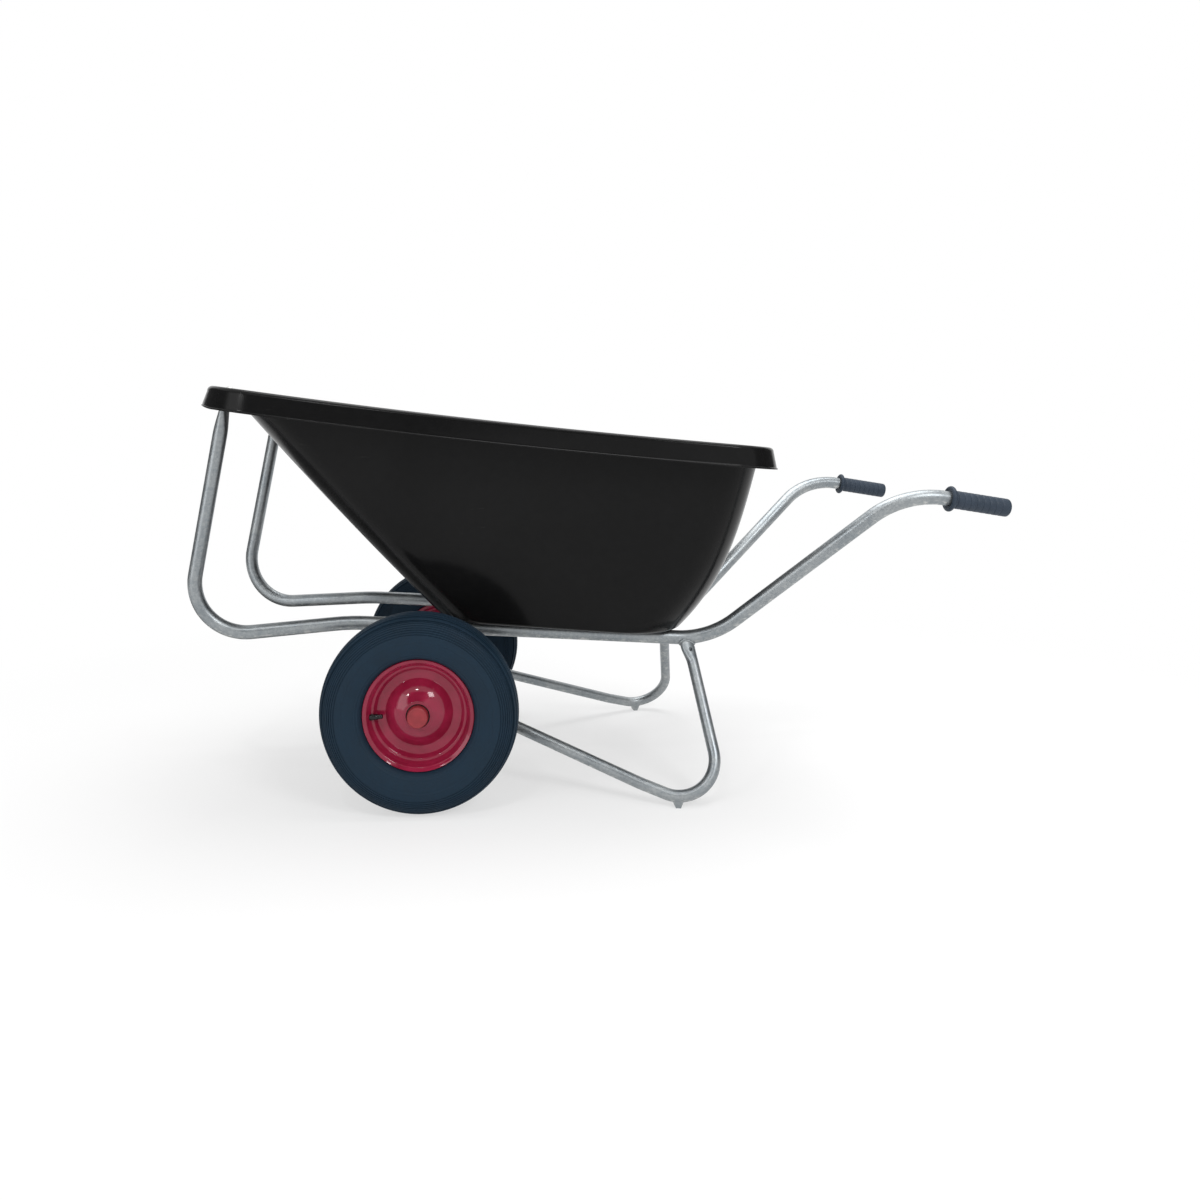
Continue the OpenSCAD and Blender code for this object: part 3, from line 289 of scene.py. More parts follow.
MATS = {
    "tray_plastic": moulded_black(),
    "galvanised_steel": galvanised(),
    "grip_plastic": rubber("grip_plastic", (0.029, 0.042, 0.061), (0.036, 0.050, 0.072), 2.0,
                           (0.42, 0.58)),
    "tyre_rubber": rubber("tyre_rubber", (0.0055, 0.0185, 0.034), (0.0085, 0.0250, 0.045)),
    "tube_rubber": rubber("tube_rubber", (0.008, 0.008, 0.008), (0.014, 0.014, 0.014)),
    "rim_paint": red_paint(),
    "cap_plastic": red_plastic(),
    "bush_plastic": rubber("bush_plastic", (0.012, 0.012, 0.012), (0.022, 0.022, 0.022), 3.0,
                           (0.4, 0.55)),
    "valve_rubber": rubber("valve_rubber", (0.002, 0.002, 0.003), (0.005, 0.005, 0.006), 3.0,
                           (0.16, 0.26), 0.4),
    "fastener_steel": zinc(),
}


# ---------------------------------------------------------------- shapes
def piece(name, verts, faces, slot, body, replaces=(), sharp=38):
    mesh = bpy.data.meshes.new(name)
    mesh.from_pydata(verts, [], faces)
    bm = bmesh.new()
    bm.from_mesh(mesh)
    bmesh.ops.recalc_face_normals(bm, faces=bm.faces)
    bm.to_mesh(mesh)
    bm.free()
    mesh.shade_smooth()
    mesh.set_sharp_from_angle(angle=math.radians(sharp))
    mesh.materials.append(MATS[slot])
    obj = bpy.data.objects.new(name, mesh)
    bpy.context.scene.collection.objects.link(obj)
    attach(obj, body)
    if replaces:
        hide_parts(*replaces)
    return obj


def skin(rings, capped=True, closed=False):
    """Faces through rings of as many points each."""
    n = len(rings[0])
    rows = len(rings) if closed else len(rings) - 1
    faces = []
    for k in range(rows):
        low, high = k * n, (k + 1) % len(rings) * n
        faces += [(low + i, low + (i + 1) % n, high + (i + 1) % n, high + i) for i in range(n)]
    if capped and not closed:
        faces += [tuple(range(n - 1, -1, -1)), tuple(range((len(rings) - 1) * n, len(rings) * n))]
    return faces


ARC_STEP = 3.0  # degrees


def corner_arc(a, b, c, r):
    u, w = (b - a).normalized(), (c - b).normalized()
    angle = u.angle(w)
    start = b - u * r * math.tan(angle / 2)
    axis = u.cross(w).normalized()
    mid = start + axis.cross(u) * r
    n = max(4, math.ceil(math.degrees(angle) / ARC_STEP))
    return [mid + Matrix.Rotation(angle * i / n, 3, axis) @ (start - mid) for i in range(n + 1)]


def bent_path(points, radii):
    path = [points[0]]
    for i in range(1, len(points) - 1):
        path += corner_arc(points[i - 1], points[i], points[i + 1], radii[i])
    return path + [points[-1]]


def resample(path, gap):
    """The path with its long runs cut into steps of at most gap."""
    out = [path[0]]
    for a, b in zip(path, path[1:]):
        n = max(1, math.ceil((b - a).length / gap))
        out += [a.lerp(b, i / n) for i in range(1, n + 1)]
    return out


def frames(path, wide):
    """Length so far, place, width and thickness directions along a path."""
    out, run = [], 0.0
    for i, p in enumerate(path):
        ahead = path[min(i + 1, len(path) - 1)] - path[max(i - 1, 0)]
        ahead.normalize()
        wide = (wide - ahead * wide.dot(ahead)).normalized()
        run += (p - path[i - 1]).length if i else 0.0
        out.append((run, p, wide, ahead.cross(wide)))
    return out


def flat_ring(r, w, thick, k, n):
    """Section of a tube on its way from round (k = 0) to flat (k = 1)."""
    ring = []
    for i in range(n):
        a = 2 * math.pi * (i + 0.5) / n
        c, s = math.cos(a), math.sin(a)
        flat = (math.copysign((w - thick) / 2, c) + thick / 2 * c, thick / 2 * s)
        ring.append((lerp(r * c, flat[0], k), lerp(r * s, flat[1], k)))
    return ring


def sweep(path, wide, section):
    """Rings of a section along a path. The section takes the length so far."""
    return [[p + u * x + v * y for x, y in section(run)] for run, p, u, v in frames(path, wide)]


def placed(rings, side):
    return [world(p, side) for ring in rings for p in ring]


def lathe(profile, centre, axis, spoke, n):
    """Rings round an axis. The profile has (radius, distance along the axis)."""
    across = axis.cross(spoke)
    rings = []
    for i in range(n):
        a = 2 * math.pi * i / n
        out = spoke * math.cos(a) + across * math.sin(a)
        rings.append([centre + axis * h + out * r for r, h in profile])
    return rings


def lathe_faces(profile, n, closed):
    m = len(profile)
    spans = m if closed else m - 1
    return [(i * m + j, i * m + (j + 1) % m, (i + 1) % n * m + (j + 1) % m, (i + 1) % n * m + j)
            for i in range(n) for j in range(spans)]


def turned(name, profile, centre, axis, spoke, side, slot, body, replaces=(), n=96, closed=True,
           sharp=38):
    rings = lathe(profile, centre, axis, spoke, n)
    piece(name, placed(rings, side), lathe_faces(profile, n, closed), slot, body, replaces, sharp)


def bead(name, points, side, r, seed, closed=False):
    """A weld bead along points, with the ripples of its passes."""
    path = resample([Vector(p) for p in points], 1.1)
    if closed:
        path = path[:-1]
    count, n = len(path), 10
    rings = []
    for i, p in enumerate(path):
        back = path[i - 1] if closed or i else p
        ahead = path[(i + 1) % count] if closed or i < count - 1 else p
        along = (ahead - back).normalized()
        u = along.orthogonal().normalized() if i == 0 else (u - along * u.dot(along)).normalized()
        v = along.cross(u)
        end = 1.0 if closed else min(1.0, 0.35 + 0.3 * min(i, count - 1 - i))
        grow = 1 + 0.13 * math.sin(i * 1.35) + 0.22 * noise.noise(p * 0.17 + Vector((seed, 0, 0)))
        grow *= end * r
        turns = [2 * math.pi * j / n for j in range(n)]
        rings.append([p + u * grow * math.cos(a) + v * grow * math.sin(a) for a in turns])
    piece(name, placed(rings, side), skin(rings, closed=closed), "galvanised_steel", "frame", sharp=80)


# ---------------------------------------------------------------- tray
def outline(xf, xr, wf, wr, rf, rr, ends=12, corner=20, run=30):
    """A rounded ring from front and rear places, half widths and corner radii."""
    tip = math.atan((wr - wf) / (xr - xf))

    def arc(cx, cy, r, a0, a1):
        turns = [lerp(a0, a1, i / corner) for i in range(corner + 1)]
        return [(cx + r * math.cos(a), cy + r * math.sin(a)) for a in turns]

    side = math.pi / 2 + tip
    front = arc(xf + rf, wf - rf * (1 - math.sin(tip)) / math.cos(tip), rf, math.pi, side)
    rear = arc(xr - rr, wr - rr * (1 + math.sin(tip)) / math.cos(tip), rr, side, 0.0)
    half = [(xf, front[0][1] * i / ends) for i in range(ends)] + front
    half += [(lerp(front[-1][0], rear[0][0], i / run), lerp(front[-1][1], rear[0][1], i / run))
             for i in range(1, run)]
    half += rear + [(xr, rear[-1][1] * (1 - i / ends)) for i in range(1, ends + 1)]
    return half + [(x, -y) for x, y in half[-2:0:-1]]


FRONT_RISE = rim_z(-TRAY_FRONT + LIP_FRONT) - WALL - floor_z(FLOOR_FRONT)
FRONT_LEAN = math.hypot(FLOOR_FRONT + TRAY_FRONT - LIP_FRONT, FRONT_RISE) / FRONT_RISE


def wall_ring(t, g, low, high):
    """The wall at a share t of its height, g in from its outside."""
    line = outline(
        lerp(FLOOR_FRONT, -TRAY_FRONT + LIP_FRONT, t) + g * FRONT_LEAN,
        RIM_REAR - LIP_REAR - REAR_LEAN * (1 - t) - REAR_TOE * (1 - t) ** TOE_POWER - g,
        lerp(FLOOR_FRONT_W, RIM_FRONT_W - 2 * LIP_SIDE, t) / 2 - g,
        lerp(FLOOR_REAR_W, RIM_W - 2 * LIP_SIDE, t) / 2 - g,
        lerp(FLOOR_FRONT_R, RIM_FRONT_R - LIP_SIDE / 2, t) - g,
        lerp(FLOOR_REAR_R, RIM_REAR_R - LIP_SIDE / 2, t) - g)
    return [Vector((x, y, lerp(floor_z(x) + low, rim_z(x) + high, t))) for x, y in line]


def outer_wall(t, g):
    return wall_ring(t, g, 0.0, -WALL)


def inner_wall(t, g):
    return wall_ring(t, g + WALL, WALL, 0.0)


def rim_ring(front, rear):
    """Front and rear are (distance in from the skirt's edge, depth below the rim)."""
    line = outline(-TRAY_FRONT + front[0], RIM_REAR - rear[0], RIM_FRONT_W / 2 - front[0],
                   RIM_W / 2 - rear[0], RIM_FRONT_R - front[0], RIM_REAR_R - rear[0])
    return [Vector((x, y, rim_z(x) - lerp(front[1], rear[1], rim_at(x)))) for x, y in line]


def roll_ring(deg, inset):
    a = math.radians(deg)

    def at(draft, roll):
        r = roll - inset
        return draft + roll - r * math.cos(a), roll - r * math.sin(a)
    return rim_ring(at(*EDGE_FRONT), at(*EDGE_REAR))


def edge_ring(g, up):
    """A ring at a height above the skirt's lower edge, which lifts at the nose."""
    return [p + Vector((0, 0, NOSE_LIFT * (1 - smooth((p.x + TRAY_FRONT) / NOSE_RUN))))
            for p in rim_ring((g, SKIRT_FRONT - up), (g, SKIRT_H - up))]


def tray():
    bend = [90 * i / 12 for i in range(13)]
    lip = LIP_R / (rim_z(0) - floor_z(0))
    foot = [(TOE_SHARE * (1 - c), TOE * (1 - s)) for c, s in map(unit, bend)]
    rings = [outer_wall(*f) for f in foot] + [outer_wall(t, 0) for t in WALL_SHARES]
    rings += [roll_ring(a, WALL) for a in (90, 60, 30, 0)]
    rings += [edge_ring(g, up) for g, up in EDGE_LINE]
    rings += [roll_ring(90 * i / 10, 0) for i in range(11)]
    rings += [inner_wall(1 - lip * (1 - s), -LIP_R * (1 - c))
              for c, s in map(unit, (90, 75, 60, 45, 30, 15, 0))]
    rings += [inner_wall(t, 0) for t in reversed(WALL_SHARES[:-1])]
    rings += [inner_wall(*f) for f in reversed(foot)]
    piece("tray_tub", placed(rings, 1), skin(rings), "tray_plastic", "frame", ["tray"], sharp=50)


# ---------------------------------------------------------------- frame tubes
TUBE_STOP = 6  # the tube ends this far inside the grip's end
TUBE_POINTS = [UPRIGHT_TOP, NOSE, RAIL_A, RAIL_B, HANDLE, GRIP_TIP - GRIP_DIR * TUBE_STOP]
TUBE_BENDS = [0, 109, 380, 160, 165, 0]
TUBE_PATH = bent_path(TUBE_POINTS, TUBE_BENDS)
# Close rings where the top is squeezed, wide ones below it
CLOSE_RUN, CLOSE_STEP, WIDE_RUN, WIDE_STEP = 105, 5, 108, 26


def side_tube(side, name):
    top = UPRIGHT_TOP + (NOSE - UPRIGHT_TOP).normalized()
    width = math.pi * (2 * TUBE_R - FLAT_T) / 2 + FLAT_T
    path = [top] + TUBE_PATH[1:]
    close = [p for p in resample(path, CLOSE_STEP) if (p - top).length < CLOSE_RUN]
    path = close + [p for p in resample(path, WIDE_STEP) if (p - top).length >= WIDE_RUN]

    def section(run):
        return flat_ring(TUBE_R, width, FLAT_T, 1 - smooth((run - 6) / SQUEEZE), 44)
    rings = sweep(path, Vector((0, 1, 0)), section)
    piece(f"{name}_frame_tube", placed(rings, side), skin(rings), "galvanised_steel", "frame",
          [f"{name}_side_tube"], sharp=60)


LEG_TOP = Vector((570, RAIL_Y, rail_z(570)))
LEG_CORNER = Vector((605, 357, -11.926))
EYE = Vector((0, 147.8, AXLE_Z))
EYE_W = math.pi * (25 - FLAT_T) / 2 + FLAT_T
EYE_RUN = 50  # flat length before the eye
LEG_R = 11.9
# The stay's gentle bend: its place as a share, its drop, and the radii along the leg
STAY_SHARE, STAY_DROP, LEG_BENDS = 0.66, 6.5, [0, 300, 75, 0]
# The leg's top is pressed to an oval: half width, half depth and shift, end and length of the run
OVAL_A, OVAL_B, OVAL_SHIFT, OVAL_END, OVAL_RUN = 16.4, 10.0, 3.6, 20, 38
LEG_SIDES = 40


def leg_lines():
    """Direction of the flat end, where it begins, and direction of the stay."""
    away = Vector((EYE.x - LEG_CORNER.x, 0, EYE.z - LEG_CORNER.z)).normalized()
    flat = EYE - away * EYE_RUN
    stay = (flat - LEG_CORNER).normalized()
    return away, flat, stay


def leg(side, name):
    """The leg and stay of a side. Gives the piece, its middle line and its section."""
    away, flat, stay = leg_lines()
    start = flat - stay * SQUEEZE
    reach = (flat - start).length / 3
    ease = []
    for i in range(25):
        t = i / 24
        u = 1 - t
        ease.append(start * u ** 3 + (start + stay * reach) * 3 * u * u * t
                    + (flat - away * reach) * 3 * u * t * t + flat * t ** 3)
    half = EYE_W / 2
    tip = [EYE + away * half * unit(a)[1] for a in (88, 80, 70, 60, 50, 40, 30, 20, 10, 0)]
    straight = [flat.lerp(EYE, i / 8) for i in range(7, 0, -1)]
    sag = start.lerp(LEG_CORNER, STAY_SHARE) + Vector((0, 0, -STAY_DROP))
    tube = resample(bent_path([start, sag, LEG_CORNER, LEG_TOP], LEG_BENDS), 9)
    path = tip + straight + list(reversed(ease)) + tube[1:]
    flat_run = half + EYE_RUN
    total = frames(path, Vector((0, 0, 1)))[-1][0]

    def section(run):
        if run < flat_run:
            beyond = max(0.0, half * unit(88)[1] - run)
            w = 2 * math.sqrt(max(0.5, half ** 2 - beyond ** 2))
            return flat_ring(LEG_R, max(w, FLAT_T + 0.2), FLAT_T, 1, LEG_SIDES)
        k = 1 - smooth((run - flat_run) / SQUEEZE)
        if k > 0:
            return flat_ring(LEG_R, EYE_W, FLAT_T, k, LEG_SIDES)
        pinch = smooth(1 - (total - run - OVAL_END) / OVAL_RUN)
        a, b = lerp(LEG_R, OVAL_A, pinch), lerp(LEG_R, OVAL_B, pinch)
        turns = [2 * math.pi * (i + 0.5) / LEG_SIDES for i in range(LEG_SIDES)]
        return [(a * math.cos(t) - OVAL_SHIFT * pinch, b * math.sin(t)) for t in turns]
    rings = sweep(path, away.cross(Vector((0, 1, 0))), section)
    obj = piece(f"{name}_leg_tube", placed(rings, side), skin(rings), "galvanised_steel", "frame",
                [f"{name}_leg"], sharp=60)
    return obj, frames(path, away.cross(Vector((0, 1, 0)))), section


def off_tube(p):
    """Distance of a place from the middle line of the side tube."""
    best = 1e9
    for a, b in zip(TUBE_PATH, TUBE_PATH[1:]):
        t = min(1.0, max(0.0, (p - a).dot(b - a) / (b - a).length_squared))
        best = min(best, (p - a.lerp(b, t)).length)
    return best


def leg_welds(side, name, path, section):
    """The bead round the top of a leg, where it meets the rail."""
    run, top, u, v = path[-1]
    down = (path[-4][1] - top).normalized()
    line = []
    for x, y in section(run):
        p, t = top + u * x + v * y, 0.0
        while off_tube(p + down * t) < TUBE_R and t < 60:
            t += 0.4
        line.append(p + down * (t + 0.4) + (u * x + v * y).normalized() * 0.5)
    bead(f"{name}_leg_weld", line + line[:1], side, 2.4, 3.0, closed=True)


VENT_DOWN, VENT_R, VENT_DEEP = 23, 0.004, 0.014  # millimetres, metres, metres


def vent(obj, path, side):
    """A drain hole through the outer face of a leg near its top."""
    _, top, _, _ = path[-1]
    place = top + (path[-8][1] - top).normalized() * VENT_DOWN
    mesh = bpy.data.meshes.new("drill")
    bm = bmesh.new()
    spin = Matrix.Rotation(math.pi / 2, 4, "X")
    move = Matrix.Translation(world(place + Vector((0, 11, 0)), side))
    bmesh.ops.create_cone(bm, cap_ends=True, segments=32, radius1=VENT_R, radius2=VENT_R,
                          depth=VENT_DEEP, matrix=move @ spin)
    bm.to_mesh(mesh)
    bm.free()
    drill = bpy.data.objects.new("drill", mesh)
    bpy.context.scene.collection.objects.link(drill)
    cut = obj.modifiers.new("vent", "BOOLEAN")
    cut.operation, cut.solver, cut.object = "DIFFERENCE", "EXACT", drill
    done = bpy.data.meshes.new_from_object(obj.evaluated_get(bpy.context.evaluated_depsgraph_get()))
    obj.modifiers.clear()
    obj.data = done
    bpy.data.objects.remove(drill)


# Where the hanger plate and the cross straps lie along the rail
HANGER_FROM, HANGER_TO, HANGER_FACE = 16, 114, 3.6
STRAPS, STRAP_HALF = (130, 400), 22


def plate_welds(side, name):
    """Beads between the rail, the hanger plate and the ends of the cross straps."""
    for k, y in enumerate((-HANGER_FACE, HANGER_FACE)):
        line = [Vector((x, RAIL_Y + y, rail_z(x) - 14.6)) for x in range(HANGER_FROM, HANGER_TO, 8)]
        bead(f"{name}_hanger_weld_{k}", line, side, 2.1, k)
    for k, at in enumerate(STRAPS):
        run = range(at - STRAP_HALF, at + STRAP_HALF + 1, 4)
        line = [Vector((x, RAIL_Y - 12.4, rail_z(x) + 8.4)) for x in run]
        bead(f"{name}_strap_weld_{k}", line, side, 2.0, 5.0 + k)


for s, side_name in SIDES:
    side_tube(s, side_name)
    made, leg_path, leg_section = leg(s, side_name)
    vent(made, leg_path, s)
    leg_welds(s, side_name, leg_path, leg_section)
    plate_welds(s, side_name)
tray()


# ---------------------------------------------------------------- grips
# One groove of the grip: (share of the pitch, depth)
GRIP_GROOVE = ((0.0, 0.15), (0.03, 0.75), (0.09, 0.8), (0.13, 0.25), (0.2, 0.0), (0.5, -0.1),
               (0.9, 0.0))


def grip(side, name):
    length, r, flange, bulb, fillet, end_r = 122.5, 18.25, 26.0, 4.1, 2.6, 5
    profile = [(15.3, 2.6), (16.2, 1.8), (flange - 2 * bulb, 1.6)]
    profile += [(flange - bulb + bulb * c, bulb + bulb * s) for c, s in map(unit, range(-150, 91, 15))]
    profile += [(r + fillet - fillet * s, 2 * bulb + 2.2 - fillet * c)
                for c, s in map(unit, (30, 60, 90))]
    count, first, last = 8, 13.0, length - 8.0
    pitch = (last - first) / count
    for i in range(count):
        at = first + i * pitch
        profile += [(r - deep, at + share * pitch) for share, deep in GRIP_GROOVE]
    profile += [(r - end_r + end_r * c, length - end_r + end_r * s)
                for c, s in map(unit, (0, 15, 30, 45, 60, 75, 90))]
    profile += [(9.0, length), (8.2, length - 0.6), (0.05, length - 0.6)]
    turned(f"{name}_hand_grip", profile, GRIP_TIP - GRIP_DIR * length, GRIP_DIR, Vector((0, 1, 0)),
           side, "grip_plastic", "frame", [f"{name}_grip"], n=72, closed=False, sharp=50)


for s, side_name in SIDES:
    grip(s, side_name)


# ---------------------------------------------------------------- wheels
TYRE_W, SHOULDER_R, CROWN_R, SIDE_R, TREAD = 100.0, 38.0, 92.0, 96.0, 12.0
RIM_D, RIM_WIDE, SEAT_D, SHEET = 221.5, 58.0, 208.0, 2.5
SHOULDER_A = TYRE_W / 2 - SHOULDER_R
CROWN_AT = AXLE_Z - CROWN_R
SHOULDER_AT = CROWN_AT + math.sqrt((CROWN_R - SHOULDER_R) ** 2 - SHOULDER_A ** 2)
CROWN_TIP = math.degrees(math.atan(SHOULDER_A / (SHOULDER_AT - CROWN_AT)))
SIDE_AT = TYRE_W / 2 - SIDE_R
SIDE_TIP = math.degrees(math.acos((RIM_D / 2 + 8 - SHOULDER_AT) / SIDE_R))
HUB_R, HUB_HALF = 27, 33
# Tread grooves: places as shares of the half width, depth, half width and flank
GROOVES, GROOVE_DEEP, GROOVE_HALF, GROOVE_FLANK = (0.10, 0.32, 0.54, 0.72), 3.4, 2.1, 0.8
# Fine ribs on the shoulder: first, last and pitch in degrees, and depth
RIB_FROM, RIB_TO, RIB_PITCH, RIB_DEEP = 44, 89, 6.8, 1.5
# Thin rings on the sidewall: (radius, depth), and half their width
SIDE_RINGS, RING_HALF = ((150.0, -0.5), (146.5, 0.35), (124.0, -0.5), (120.5, 0.5), (117.0, -0.6)), 1.3
# Foot of the sidewall beside the flange: (above the flange, outside of it)
TYRE_FOOT = ((5.4, 11.4), (3.4, 8.6), (2.0, 5.4), (1.2, 2.4))
WHEEL = Vector((0, TRACK / 2, AXLE_Z))
OUT, FORE = Vector((0, 1, 0)), Vector((-1, 0, 0))


def arc2(c, r, a0, a1, n):
    turns = [unit(lerp(a0, a1, i / n)) for i in range(n + 1)]
    return [(c[0] + r * cos, c[1] + r * sin) for cos, sin in turns]


def tyre_half():
    """Outside of the tyre from the crown to the bead, with its grooves and ribs."""
    line = arc2((CROWN_AT, 0), CROWN_R, 0, CROWN_TIP, 60)
    line += arc2((SHOULDER_AT, SHOULDER_A), SHOULDER_R, CROWN_TIP, 90, 150)[1:]
    line += arc2((SHOULDER_AT, SIDE_AT), SIDE_R, 90, SIDE_TIP, 60)[1:]
    out = []
    for i, (r, a) in enumerate(line):
        before, after = line[max(i - 1, 0)], line[min(i + 1, len(line) - 1)]
        t = Vector((after[0] - before[0], after[1] - before[1])).normalized()
        deep = 0.0
        for share in GROOVES:
            gap = abs(a - share * TYRE_W / 2)
            if r > SHOULDER_AT:
                deep = max(deep, GROOVE_DEEP * smooth((GROOVE_HALF - gap) / GROOVE_FLANK))
        angle = math.degrees(math.atan2(a - SHOULDER_A, r - SHOULDER_AT))
        if RIB_FROM < angle < RIB_TO and r > SHOULDER_AT - 2:
            wave = math.cos(math.radians((angle - RIB_FROM) * 360 / RIB_PITCH))
            deep = max(deep, RIB_DEEP * smooth(wave * 1.3))
        for ring, sunk in SIDE_RINGS:
            deep += sunk * max(0.0, 1 - abs(r - ring) / RING_HALF)
        out.append((r - t.y * deep, a + t.x * deep))
    flange = RIM_WIDE / 2 - SHEET - 0.6
    foot = [(RIM_D / 2 + up, flange + off) for up, off in TYRE_FOOT]
    return out + foot + [(RIM_D / 2 - 3, flange), (SEAT_D / 2 + 2, flange)]


def tyre(side, name):
    half = tyre_half()
    heel = [(SEAT_D / 2 + 2, RIM_WIDE / 2 - 16), (SEAT_D / 2 + 9, RIM_WIDE / 2 - 16)]
    wall = [(SHOULDER_AT - 10, TYRE_W / 2 - 8), (SHOULDER_AT + 20, TYRE_W / 2 - 16)]
    right = half + heel + wall + arc2((CROWN_AT, 0), CROWN_R - TREAD, CROWN_TIP, 0, 6)
    loop = right + [(r, -a) for r, a in reversed(right[1:-1])]
    turned(f"{name}_tyre_rubber", loop, WHEEL, OUT, FORE, side, "tyre_rubber", f"{name}_wheel",
           [f"{name}_tyre"], n=150, sharp=45)


def rounded2(a, b, c, r, n):
    """The corner b between a and c, rounded in n steps."""
    a, b, c = Vector(a), Vector(b), Vector(c)
    da, dc = (a - b).normalized(), (c - b).normalized()
    half = da.angle(dc) / 2
    mid = b + (da + dc).normalized() * r / math.sin(half)
    p0, p1 = b + da * r / math.tan(half) - mid, b + dc * r / math.tan(half) - mid
    return [tuple(mid + r * p0.lerp(p1, i / n).normalized()) for i in range(n + 1)]


def rim_line():
    """Middle line of a pressed rim half, from its flange to the hub."""
    meet, seat, lip = SHEET / 2 + WELD_GAP / 2, SEAT_D / 2, RIM_WIDE / 2 - SHEET / 2
    collar, well, swell = HUB_R + WELD_GAP + SHEET / 2, 67, 4.0
    corners = [(RIM_D / 2, lip + 2.6), (RIM_D / 2 - 2.2, lip + 1.2), (seat, lip - 1),
               (seat - 3, lip - 8), (96, 12.5), (91.5, 11), (85.5, meet), (well, meet)]
    bends = [0, 1.2, 2.2, 4, 2.5, 2.5, 2.5, 3, 0]
    foot, top = Vector((well, meet)), Vector((collar, HUB_HALF - SHEET))
    rise = Vector((foot.y - top.y, top.x - foot.x)).normalized() * -swell
    dome = [foot.lerp(top, i / 16) + rise * math.sin(math.pi * i / 16) for i in range(1, 17)]
    corners += [tuple(dome[1])]
    line = []
    for i, (corner, r) in enumerate(zip(corners, bends)):
        line += rounded2(corners[i - 1], corner, corners[i + 1], r, 8) if r else [corner]
    return line + [tuple(p) for p in dome[2:]] + [(collar, HUB_HALF)]


def sheet_loop(line, t):
    """Outline of a sheet of thickness t along its middle line."""
    up, down = [], []
    for i, p in enumerate(line):
        q = Vector(line[min(i + 1, len(line) - 1)]) - Vector(line[max(i - 1, 0)])
        q.normalize()
        grow = 1.0
        if 0 < i < len(line) - 1:
            grow = 1 / max(0.5, (Vector(p) - Vector(line[i - 1])).normalized().dot(q))
        up.append((p[0] - q.y * t / 2 * grow, p[1] + q.x * t / 2 * grow))
        down.append((p[0] + q.y * t / 2 * grow, p[1] - q.x * t / 2 * grow))
    return up + down[::-1]


def rims(side, name):
    loop = sheet_loop(rim_line(), SHEET)
    mirror = [(r, -a) for r, a in loop]
    turned(f"{name}_rim_front", loop, WHEEL, OUT, FORE, side, "rim_paint", f"{name}_wheel",
           [f"{name}_rim_outer"], n=160)
    turned(f"{name}_rim_back", mirror, WHEEL, OUT, FORE, side, "rim_paint", f"{name}_wheel",
           [f"{name}_rim_inner"], n=160)


CAP_AT = 31  # how far the cap sits outside the wheel's middle
VALVE_ROOT, VALVE_OUT, VALVE_TURN = 98.0, 15, -3


def cap(side, name):
    h, r, edge = 16.0, 21.5, 3.6
    profile = [(r - 2, 0.0), (r - 0.4, 0.0), (r, 0.5), (r - 0.4, h - 7)]
    profile += [(17.2 + edge * c, h - edge + edge * s)
                for c, s in map(unit, (5, 20, 35, 50, 65, 80, 90))]
    profile += [(13, h + 0.1), (8, h + 0.35), (0.05, h + 0.5)]
    turned(f"{name}_hub_cap", profile, WHEEL + OUT * CAP_AT, OUT, FORE, side, "cap_plastic", "frame",
           [f"{name}_axle_cap"], n=72, closed=False, sharp=50)


def valve(side, name):
    spoke = Matrix.Rotation(math.radians(VALVE_TURN), 3, "Y") @ FORE
    root = WHEEL + spoke * VALVE_ROOT + OUT * VALVE_OUT
    profile = [(0.05, 0.0), (5.8, 0.0), (5.8, 1.5), (6.3, 2.2), (6.3, 4.0), (5.9, 5.0), (5.5, 16.0),
               (4.4, 17.0), (4.2, 18.0)]
    profile += [(4.6 - 0.25 * (i % 2), 18.4 + i * 0.8) for i in range(9)]
    profile += [(3.6, 25.9), (3.0, 26.3), (0.05, 26.3)]
    turned(f"{name}_valve_stem", profile, root, -spoke, OUT, side, "valve_rubber", f"{name}_wheel",
           [f"{name}_valve"], n=32, closed=False)


for s, side_name in SIDES:
    tyre(s, side_name)
    rims(s, side_name)
    cap(s, side_name)
    valve(s, side_name)


# ---------------------------------------------------------------- CAD nodes that stay
SLOT_OF = {p["node"]: p["material_slot"] for p in frame["record"]["subparts"]}
for node_name, node in NODES.items():
    if node.hide_render:
        continue
    node.data.materials.clear()
    node.data.materials.append(MATS[SLOT_OF[node_name]])
    weld = node.modifiers.new("weld", "WELD")
    weld.merge_threshold = 0.00001
    if node_name.endswith(("hanger", "strap", "foot", "nuts", "plate")):
        edge = node.modifiers.new("edge", "BEVEL")
        edge.width, edge.segments, edge.angle_limit = 0.0007, 2, math.radians(30)


# ---------------------------------------------------------------- studio
def area(name, place, target, size, power):
    lamp = bpy.data.lights.new(name, "AREA")
    lamp.shape, lamp.size, lamp.size_y = "RECTANGLE", size[0], size[1]
    lamp.energy = power
    obj = bpy.data.objects.new(name, lamp)
    obj.location = place
    obj.rotation_euler = (Vector(target) - Vector(place)).to_track_quat("-Z", "Y").to_euler()
    bpy.context.scene.collection.objects.link(obj)


area("key", (1.5, -2.7, 2.5), (0, 0, 0.45), (1.0, 1.0), 40)
area("top", (0.3, 0.5, 3.6), (0, 0, 0.4), (3.0, 2.4), 95)
area("fill", (-2.6, -2.2, 1.1), (-0.3, 0, 0.45), (1.4, 2.0), 13)
area("glint_a", (-0.85, -2.35, 3.2), (-0.35, -0.33, 0.25), (0.30, 0.14), 10)
area("glint_b", (-2.07, -2.40, 2.1), (-0.35, -0.33, 0.25), (0.24, 0.12), 7)


